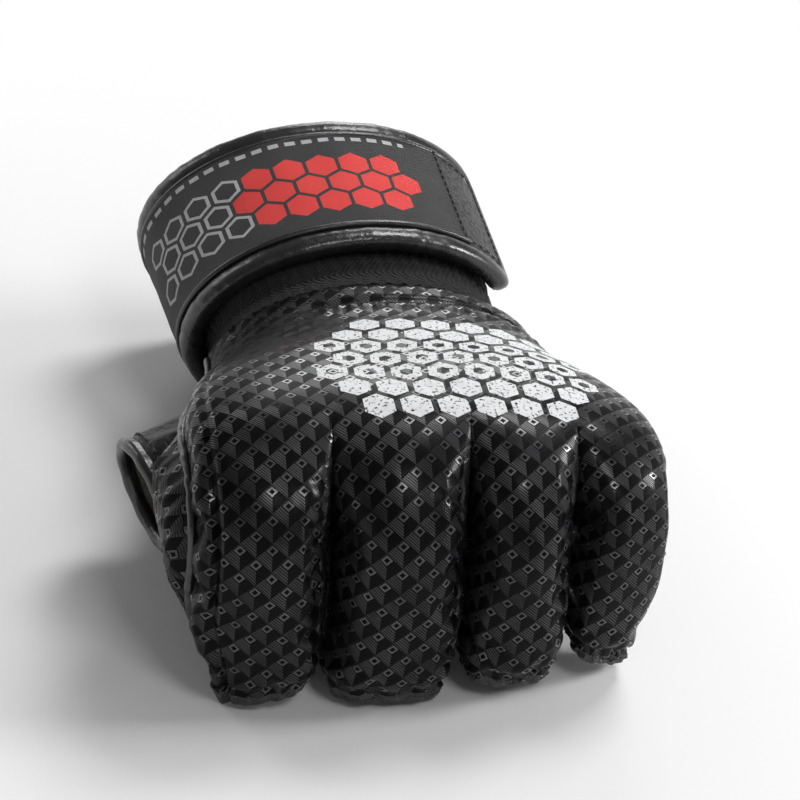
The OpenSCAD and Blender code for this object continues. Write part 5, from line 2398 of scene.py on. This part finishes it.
@dataclass
class ThumbLoop(Assembly):
    """Loop for the thumb, sewn into the shell, with a bound rim."""

    sides: int = 96
    rows: int = 22
    sewn_in: float = 0.8
    flange: Ridge = Ridge(0.9, 1.5)
    end_run: Ramp = Ramp(0.0, 0.2)
    wrinkle: Ruffle = Ruffle(0.55, 8.0, 33)
    wrinkle_span: float = 9.0
    wrinkle_stretch: float = 0.5
    rim: float = 3.4
    rim_sides: int = 18
    rim_sunk: float = 0.3
    rim_wide: float = 1.15
    rim_lumps: Pair = (0.05, 11.0)
    pinch: Ridge = Ridge(-0.22, 0.42)
    pinch_turn: float = 0.5
    stitch_place: float = 1.6
    stitch_lift: float = 0.15
    stitch_points: int = 200

    def build(self) -> None:
        """Makes the loop, its rim and the stitches below the rim."""
        form = self.form
        angle = round_steps(self.sides, 360.0)[:, None]
        share = np.linspace(0.0, 1.0, self.rows)[None]
        root = form.thumb_radius + form.thumb_flare
        start = form.thumb_meets(angle, root + form.loop_wall)
        along = mix(start - self.sewn_in, form.thumb_length, share)
        radius = root - form.thumb_flare * share
        outer, inner = (form.thumb_point(angle, along, radius + wall) for wall in (form.loop_wall, 0.0))
        lay = packed(np.arange(self.sides + 1)[:, None] * math.tau * root / self.sides, closed(along))
        turn = np.radians(angle)
        place = np.cos(turn) * self.wrinkle_span, np.sin(turn) * self.wrinkle_span + along * self.wrinkle_stretch
        wrinkle = self.end_run.at(share) * self.end_run.at(1.0 - share) * self.wrinkle.at(*place)
        outer = raised(outer, inner, self.flange.at(along - start) + wrinkle, looped=True)
        self.bench.add("thumb_sleeve", Solid.layer(outer, inner, lay, looped=True, back=1),
                       (THUMB_LEATHER, LINING_CLOTH), "hand", "thumb_leather", ("thumb_loop",))
        self.bind(angle)

    def bind(self, angle: Array) -> None:
        """Adds the bound rim, drawn in along its middle, and its stitches.

        Args:
            angle: Angles round the thumb.
        """
        form, (lump, lumps) = self.form, self.rim_lumps
        turn = round_steps(self.rim_sides)[None]
        pinch = 1.0 + self.pinch.at(np.angle(np.exp(1j * (turn - math.pi / 2 - self.pinch_turn))))
        thick = self.rim / 2 * pinch * (1.0 + lump * np.sin(np.radians(angle) * lumps))
        middle = form.thumb_length + form.layer_gap + self.rim / 2 - self.rim_sunk
        radius = form.thumb_radius + form.loop_wall / 2 + thick * np.sin(turn)
        rings = form.thumb_point(angle, middle + thick * self.rim_wide * np.cos(turn), radius)
        self.bench.add("thumb_bound_rim", Solid.cord(rings, looped=True), ROLLED_LEATHER, "hand", "binding",
                       ("thumb_binding",))
        full, place = np.linspace(0.0, 360.0, self.stitch_points), form.thumb_length - self.stitch_place
        sewn = form.thumb_point(full, place, form.thumb_radius + form.loop_wall + self.stitch_lift)
        out = unit(sewn - form.thumb_point(full, place, 1.0))
        self.bench.stitches("thumb_rim_stitches", sewn, out, "hand", "binding")


# Wrist


@dataclass
class WristCuff(Assembly):
    """Stretch neck between the padded back and the strap, the cuff under the strap and its loop pile."""

    sides: int = 180
    neck_rows: int = 22
    neck_inset: float = 2.0
    gather: float = 0.4
    gathers: int = 64
    gather_drift: Ruffle = Ruffle(1.5, 9.0, 12)
    drift_stretch: float = 9.0
    gather_least: float = 0.4
    neck_dip: float = 1.3
    cuff_rows: int = 26
    hem: float = 1.5
    hem_sides: int = 14
    hem_shift: float = 0.7
    pile_span: Pair = (45.0, -28.0)
    pile_inset: float = 0.142
    pile_grid: tuple[int, int] = (60, 40)
    pile_lifts: Pair = (0.7, 0.05)
    fluff: Ruffle = Ruffle(0.12, 2.4, 15)

    def build(self) -> None:
        """Makes the neck, the cuff, its rolled hem and the pile."""
        form = self.form
        angle = round_steps(self.sides, 360.0)[:, None]
        share = np.linspace(0.0, 1.0, self.neck_rows)[None]
        outer, inner = (mix(form.rear_end_point(angle, form.seam_gap, self.neck_inset + deep),
                            form.ring_point(angle, form.edge_share / 2, -form.cuff_face - deep), share[..., None])
                        for deep in (0.0, form.cuff_wall))
        gathers = np.sin(np.radians(angle) * self.gathers + self.gather_drift.at(angle / self.drift_stretch))
        ends = mix(self.gather_least, 1.0, np.abs(2.0 * share - 1.0))
        height = self.gather * gathers * ends - self.neck_dip * np.sin(math.pi * share)
        self.wrap("stretch_neck", raised(outer, inner, height, looped=True), inner, "wrist_neck", "gathered")
        shares = np.linspace(form.edge_share / 2, 1.0 - form.edge_share / 2, self.cuff_rows)[None]
        outer, inner = (form.ring_point(angle, shares, -form.cuff_face - deep) for deep in (0.0, form.cuff_wall))
        self.wrap("stretch_cuff", outer, inner, "cuff", "stretched")
        self.roll_hem(angle)
        self.lay_pile()

    def wrap(self, name: str, outer: Array, inner: Array, node: str, held: str) -> None:
        """Adds one knitted tube round the wrist.

        Args:
            name: The piece's name.
            outer: Points of its outer face.
            inner: Points of its inner face.
            node: The node that it stands for.
            held: Not used.
        """
        lay = round_lay(outer)
        solid = Solid.layer(outer, inner, lay, looped=True)
        piece = self.bench.add(name, solid, CUFF_KNIT, "hand", "cuff_knit", (node,))

    def roll_hem(self, angle: Array) -> None:
        """Adds the rolled hem at the cuff's mouth.

        Args:
            angle: Angles round the wrist.
        """
        form, turn = self.form, round_steps(self.hem_sides)[None]
        behind = (self.hem_shift * self.hem + self.hem * np.cos(turn)) / form.strap_width
        lift = -form.cuff_face - form.cuff_wall / 2 + self.hem * np.sin(turn)
        rings = form.ring_point(angle, 1.0 - form.edge_share / 2 + behind, lift)
        self.bench.add("cuff_rolled_hem", Solid.cord(rings, looped=True), ROLLED_LEATHER, "hand", "binding")

    def lay_pile(self) -> None:
        """Adds the loop pile that the pull tab closes on."""
        form, (long, wide), (top, bottom) = self.form, self.pile_grid, self.pile_lifts
        angle, share = np.meshgrid(np.linspace(*self.pile_span, long),
                                   np.linspace(self.pile_inset, 1.0 - self.pile_inset, wide), indexing="ij")
        lay = packed(form.ring_length(angle), share * form.strap_width)
        fluff = self.fluff.at(lay[..., 0], lay[..., 1])
        outer = form.ring_point(angle, share, top - form.cuff_face + fluff)
        inner = form.ring_point(angle, share, bottom - form.cuff_face)
        self.bench.add("closing_pile", Solid.layer(outer, inner, lay), LOOP_PILE, "hand", "loop_pile", ("loop_patch",))


class StrapRun(Named):
    """Runs of the wrist strap, each with the angles where it starts and ends."""

    ANCHOR = (-30.0, -112.0)
    SIDE = (248.0, 150.0)
    BACK = (150.0, 47.0)
    TAB = (47.0, 14.0)

    @property
    def before(self) -> str:
        """The first body of this run's fold."""
        return {StrapRun.BACK: "strap_side", StrapRun.TAB: "strap_back"}.get(self, "hand")


class StrapEdge(Named):
    """The strap's two long edges, each with the way from it to the band."""

    FRONT = 1
    REAR = -1


@dataclass
class WristStrap(Assembly):
    """Padded strap that wraps the wrist, with rolled edges, welts, a woven label and a pull tab."""

    step: float = 1.4
    least_steps: int = 8
    columns: int = 44
    fold_run: float = 15.0
    fill: float = 0.5
    band_lap: float = 0.8
    band_swell: float = 0.25
    roll_sides: int = 16
    roll_square: float = 2.5
    roll_wide: float = 1.08
    puffs: tuple[Ruffle, Ruffle] = (Ruffle(0.03, 13.0, 51), Ruffle(0.02, 4.0, 52))
    free_end: float = 0.96
    welt: float = 0.75
    welt_gap: float = 0.016
    welt_lift: float = 0.55
    label_lift: float = 0.9
    label_thickness: float = 0.7
    label_inset: float = 0.012
    label_ripple: Ruffle = Ruffle(0.12, 15.0, 55)
    label_stitches: Triple = (0.01, 2.2, 0.1)
    tab_corner: float = 8.0
    tab_points: tuple[int, int] = (14, 18)
    tab_inset: float = 0.2
    tab_swell: float = 0.3
    fluff: Ruffle = Ruffle(0.15, 2.6, 57)
    tape: float = 0.6
    tape_inset: float = 0.8
    tape_gap: float = 0.1
    edge_points: tuple[int, int] = (16, 10)
    tab_stitches: Pair = (1.3, 0.45)
    stitch_points: int = 60
    under: float = -20.0

    def build(self) -> None:
        """Makes the strap's four runs."""
        for run in StrapRun:
            if run is StrapRun.TAB:
                self.add_tab()
            else:
                self.add_run(run)

    def hold(self, run: StrapRun) -> Hold:
        """The body that carries one run, or its fold, which lies where the run before it ends and leaves the run as
        made.

        Args:
            run: The run.

        Returns:
            The body's name or the fold.
        """
        if run is StrapRun.ANCHOR:
            return "hand"
        start = run.value[0]
        points = self.form.ring_point(np.array([start, start - self.fold_run]), 0.5, 0.0)
        return Fold(run.before, f"strap_{run.label}", *(tuple(point) for point in points))

    def angles(self, run: StrapRun) -> Array:
        """Angles along one run, about one step apart."""
        low, high = run.value
        return np.linspace(low, high, max(self.least_steps, round(abs(high - low) / self.step)) + 1)

    def turn(self, length: float) -> float:
        """Degrees round the wrist that a short length covers."""
        return math.degrees(length / self.form.strap_half_width)

    def lay(self, angle: Array, share: Array) -> Array:
        """Lengths round the wrist and across the strap, from the middle of the label."""
        return packed(self.form.ring_length(angle), (share - 0.5) * self.form.strap_width)

    def strip(self, run: StrapRun, inset: float) -> list[Array]:
        """Angles and shares of a flat piece along one run, inset from both edges."""
        return np.meshgrid(self.angles(run), np.linspace(inset, 1.0 - inset, self.columns), indexing="ij")

    def flat(self, grid: Sequence[Array], top: Number, bottom: float) -> Solid:
        """A flat piece between two heights over the strap's face."""
        return Solid.layer(self.form.ring_point(*grid, top), self.form.ring_point(*grid, bottom), self.lay(*grid))

    def crown(self, share: Array, height: float) -> Array:
        """Height by which a padded piece stands higher in the strap's middle."""
        return height * np.cos((share - 0.5) * math.pi)

    def roll_section(self) -> tuple[Array, Array]:
        """Both coordinates of a rolled edge's section."""
        return power_circle(round_steps(self.roll_sides, 360.0)[None], self.roll_square)

    def add_run(self, run: StrapRun) -> None:
        """Adds one run: its padded band, its rolled edges and welts, and its label if it has one.

        Args:
            run: The run.
        """
        form, name, hold = self.form, run.label, self.hold(run)
        grid = self.strip(run, form.edge_share * self.band_lap)
        solid = self.flat(grid, self.crown(grid[1], self.band_swell), -form.strap_thickness)
        band = self.bench.add(f"{name}_strap_band", solid, PALM_LEATHER, hold, "strap_leather", (f"{name}_band",))
        for edge in StrapEdge:
            self.add_edge(run, edge)
        if run in (StrapRun.SIDE, StrapRun.BACK):
            self.add_label(run)

    def add_edge(self, run: StrapRun, edge: StrapEdge) -> None:
        """Adds a rolled edge, and the thin welt between it and the band.

        Args:
            run: The run.
            edge: Which of its edges.
        """
        form, name, hold = self.form, f"{run.label}_{edge.label}", self.hold(run)
        half = form.edge_share / 2
        middle = half if edge is StrapEdge.FRONT else 1.0 - half
        angles = self.angles(run)[:, None]
        length = form.ring_length(angles)
        puff = 1.0 + sum(lumps.at(length) for lumps in self.puffs)
        if run is StrapRun.ANCHOR:
            free = np.clip(np.abs(length - length[0]) / form.edge_width, 0.0, 1.0)
            puff = puff * np.sqrt(1.0 - self.free_end * (1.0 - free) ** 2)
        wide, tall = self.roll_section()
        across_roll, high = half * self.roll_wide, form.strap_thickness / 2 + form.edge_proud
        rings = form.ring_point(angles, middle + across_roll * wide * puff,
                                -form.strap_thickness / 2 + high * tall * puff)
        self.bench.add(f"{name}_roll", Solid.cord(rings), ROLLED_LEATHER, hold, "strap_edge", (f"{name}_edge",))
        turn = round_steps(self.roll_sides)[None]
        share = middle + edge.value * (half + self.welt_gap) + self.welt / form.strap_width * np.cos(turn)
        rings = form.ring_point(angles, share, self.welt_lift + self.welt * np.sin(turn))
        self.bench.add(f"{name}_welt", Solid.cord(rings), ROLLED_LEATHER, hold, "strap_edge")

    def add_label(self, run: StrapRun) -> None:
        """Adds the woven label on one run, and the stitches at its end.

        Args:
            run: The run.
        """
        form, name = self.form, run.label
        front = form.edge_share + self.label_inset
        grid = self.strip(run, front)
        u, v = np.moveaxis(self.lay(*grid), -1, 0)
        solid = self.flat(grid, self.label_lift + self.label_ripple.at(u, v), self.label_lift - self.label_thickness)
        label = self.bench.add(f"{name}_woven_label", solid, STRAP_LABEL, self.hold(run), "woven_label",
                               (f"{name}_label",))
        if run is StrapRun.BACK:
            inset, before, lift = self.label_stitches
            share = np.linspace(front + inset, 1.0 - front - inset, self.stitch_points)
            sewn, under = (form.ring_point(run.value[1] + before, share, level)
                           for level in (self.label_lift + lift, self.under))
            self.bench.stitches("label_end_stitches", sewn, unit(sewn - under), "strap_back", "woven_label")

    def add_tab(self) -> None:
        """Adds the pull tab: brushed face, rolled edge round its end, hook tape below and stitches."""
        form, hold = self.form, self.hold(StrapRun.TAB)
        face = self.tab_grid(form.edge_width / 2 + self.tab_inset)
        u, v = np.moveaxis(self.lay(*face), -1, 0)
        solid = self.flat(face, self.fluff.at(u, v) + self.crown(face[1], self.tab_swell), -form.strap_thickness)
        band = self.bench.add("tab_brushed_face", solid, LOOP_PILE, hold, "strap_leather", ("tab_band",))
        self.roll_tab_edge(hold)
        lift = -form.strap_thickness - self.tape_gap
        solid = self.flat(self.tab_grid(form.edge_width / 2 + self.tape_inset), lift, lift - self.tape)
        self.bench.add("tab_hook_tape", solid, HOOK_TAPE, hold, "hook_tape", ("tab_hook",))

    def tab_grid(self, inset: float) -> list[Array]:
        """Angles and shares of a flat piece inside the tab's edge, with rounded corners.

        Args:
            inset: Distance in from the middle of the tab's edge.

        Returns:
            The angles and the shares.
        """
        form, (low, high), (bent, long) = self.form, StrapRun.TAB.value, self.tab_points
        centre = high + self.turn(form.edge_width / 2) + self.turn(self.tab_corner)
        radius, half = self.tab_corner - inset, 0.5 - form.edge_share / 2
        quarter = np.linspace(0.0, math.pi / 2, bent)
        bow = half - self.tab_corner / form.strap_width + radius / form.strap_width * np.sin(quarter)
        angle = np.concatenate([centre - self.turn(radius) * np.cos(quarter), np.linspace(centre, low, long)[1:]])
        reach = np.concatenate([bow, np.full(long - 1, half - inset / form.strap_width)])
        return matched(angle[:, None], 0.5 + reach[:, None] * np.linspace(-1.0, 1.0, self.columns)[None])

    def roll_tab_edge(self, hold: Hold) -> None:
        """Adds the rolled edge down both sides of the tab and round its end, and the stitches inside it.

        Args:
            hold: The tab's fold, which leaves it as made.
        """
        form, (low, high), (long, short) = self.form, StrapRun.TAB.value, self.edge_points
        edge, end = form.edge_share / 2, high + self.turn(form.edge_width / 2)
        corner, bow = self.turn(self.tab_corner), self.tab_corner / form.strap_width
        bend = np.linspace(0.0, math.pi / 2, long)[1:]
        angle = np.concatenate([np.linspace(low, end + corner, long), end + corner * (1.0 - np.sin(bend)),
                                np.full(short - 1, end)])
        share = np.concatenate([np.full(long, edge), edge + bow * (1.0 - np.cos(bend)),
                                np.linspace(edge + bow, 0.5, short)[1:]])
        heading = np.concatenate([np.zeros(long), bend, np.full(short - 1, math.pi / 2)])
        angle = np.concatenate([angle, angle[-2::-1]])
        share = np.concatenate([share, 1.0 - share[-2::-1]])
        heading = np.concatenate([heading, math.pi - heading[-2::-1]])
        wide, tall = self.roll_section()
        reach, thick = form.edge_width / 2 * self.roll_wide, form.strap_thickness / 2 + form.edge_proud
        rings = form.ring_point(angle[:, None] - self.turn(reach) * wide * np.sin(heading)[:, None],
                                share[:, None] - reach / form.strap_width * wide * np.cos(heading)[:, None],
                                -form.strap_thickness / 2 + thick * tall)
        self.bench.add("tab_rolled_edge", Solid.cord(rings), ROLLED_LEATHER, hold, "strap_edge", ("tab_edge",))
        inset, lift = self.tab_stitches
        inside = form.edge_width / 2 + inset
        sewn = form.ring_point(angle + self.turn(inside) * np.sin(heading),
                               share + inside / form.strap_width * np.cos(heading), lift)
        out = unit(sewn - form.ring_point(angle, share, self.under))
        self.bench.stitches("tab_edge_stitches", sewn, out, hold, "strap_edge")


# Studio


@dataclass(frozen=True)
class Lamp:
    """A soft square lamp that points at the glove."""

    name: str
    place: Place
    size: float
    power: float


@dataclass
class Studio:
    """Pale floor, soft lamps and a camera at the photograph's angle; lengths in metres, the aim in millimetres."""

    form: GloveForm
    azimuth: float = -15.29
    elevation: float = 33.65
    roll: float = 7.17
    distance: float = 0.7425
    aim: Place = (-5.56, 20.0, 51.02)
    focal_pixels: float = 3206.7
    image_pixels: float = 800.0
    sensor: float = 36.0
    floor_half: float = 3.0
    floor_gap: float = 0.0002
    floor_tone: float = 0.92
    floor_rough: float = 0.9
    floor_specular: float = 0.1
    shadow_reach: Pair = (0.08, 0.25)
    world_level: float = 0.16
    backdrop_top: Pair = (0.1, 0.3)
    lamps: tuple[Lamp, ...] = (
        Lamp("key_softbox", (0.42, 0.34, 0.88), 0.34, 5.0),
        Lamp("side_strip", (0.92, -0.10, 0.52), 0.26, 5.5),
        Lamp("front_top", (0.18, -0.62, 0.86), 0.26, 1.8),
        Lamp("rear_low", (0.30, 1.10, 0.42), 0.40, 2.8),
        Lamp("rear_rim", (-0.60, 0.65, 0.45), 0.35, 1.2),
    )

    @property
    def target(self) -> Vector:
        """The point that the camera and the lamps point at, in metres."""
        return Vector(self.form.place(np.array(self.aim)))

    def build(self) -> None:
        """Makes the floor, the light and the camera."""
        self.lay_floor()
        self.light()
        self.place_camera()

    def lay_floor(self) -> None:
        """Adds the floor just under the glove."""
        half, level = self.floor_half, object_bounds()[0][2] - self.floor_gap
        corners = [(x, y, level) for x, y in ((-half, -half), (half, -half), (half, half), (-half, half))]
        mesh = bpy.data.meshes.new("studio_floor")
        mesh.from_pydata(corners, [], [(0, 1, 2, 3)])
        floor = bpy.data.objects.new("studio_floor", mesh)
        bpy.context.scene.collection.objects.link(floor)
        paper = Shader("pale_paper", {"Base Color": (self.floor_tone,) * 3, "Roughness": self.floor_rough,
                                      "Specular IOR Level": self.floor_specular})
        paper.whiten(*self.shadow_reach)
        mesh.materials.append(paper.material)
        floor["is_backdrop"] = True

    def light(self) -> None:
        """Adds the lamps and the even light of the room."""
        for lamp in self.lamps:
            data = bpy.data.lights.new(lamp.name, "AREA")
            data.size, data.energy = lamp.size, lamp.power
            shown = bpy.data.objects.new(lamp.name, data)
            shown.location = lamp.place
            shown.rotation_euler = (self.target - Vector(lamp.place)).to_track_quat("-Z", "Y").to_euler()
            bpy.context.scene.collection.objects.link(shown)
        world = bpy.data.worlds.new("studio_room")
        world.use_nodes = True
        room = Tree(world.node_tree)
        dim, white = (room.node("ShaderNodeBackground", inputs={"Color": (1.0, 1.0, 1.0), "Strength": level})
                      for level in (self.world_level, 1.0))
        ways = room.value(room.node("ShaderNodeTexCoord"), "Generated")
        up = room.value(room.node("ShaderNodeSeparateXYZ", inputs={"Vector": ways}), "Z")
        backdrop = room.seen() * (1.0 - up.ease(*self.backdrop_top))
        room.node("ShaderNodeOutputWorld", inputs={"Surface": room.blend(backdrop, dim, white)})
        bpy.context.scene.world = world
        bpy.context.scene.view_settings.view_transform = "Standard"

    def place_camera(self) -> None:
        """Adds the camera, turned about its own axis as in the photograph."""
        a, e, r = (math.radians(angle) for angle in (self.azimuth, self.elevation, self.roll))
        back = Vector((math.sin(a) * math.cos(e), -math.cos(a) * math.cos(e), math.sin(e)))
        level = Vector((math.cos(a), math.sin(a), 0.0))
        right = level * math.cos(r) + back.cross(level) * math.sin(r)
        data = bpy.data.cameras.new("photo_camera")
        data.sensor_width = self.sensor
        data.lens = self.sensor * self.focal_pixels / self.image_pixels
        camera = bpy.data.objects.new("photo_camera", data)
        turn = Matrix((right, back.cross(right), back)).transposed().to_4x4()
        camera.matrix_world = Matrix.Translation(self.target + back * self.distance) @ turn
        bpy.context.scene.collection.objects.link(camera)
        bpy.context.scene.camera = camera


def main() -> None:
    """Dresses the glove piece by piece, then sets up the studio."""
    logging.basicConfig(level=logging.INFO, format="%(name)s: %(message)s")
    bench = Bench(GloveForm())
    pads = [FingerPad(bench, finger) for finger in Finger]
    for part in (BackPad(bench), *pads, SideShell(bench), ThumbLoop(bench), WristCuff(bench), WristStrap(bench)):
        part.build()
    Studio(bench.form).build()
    log.info("%d pieces", len(bench.made))


if __name__ == "__main__":
    main()
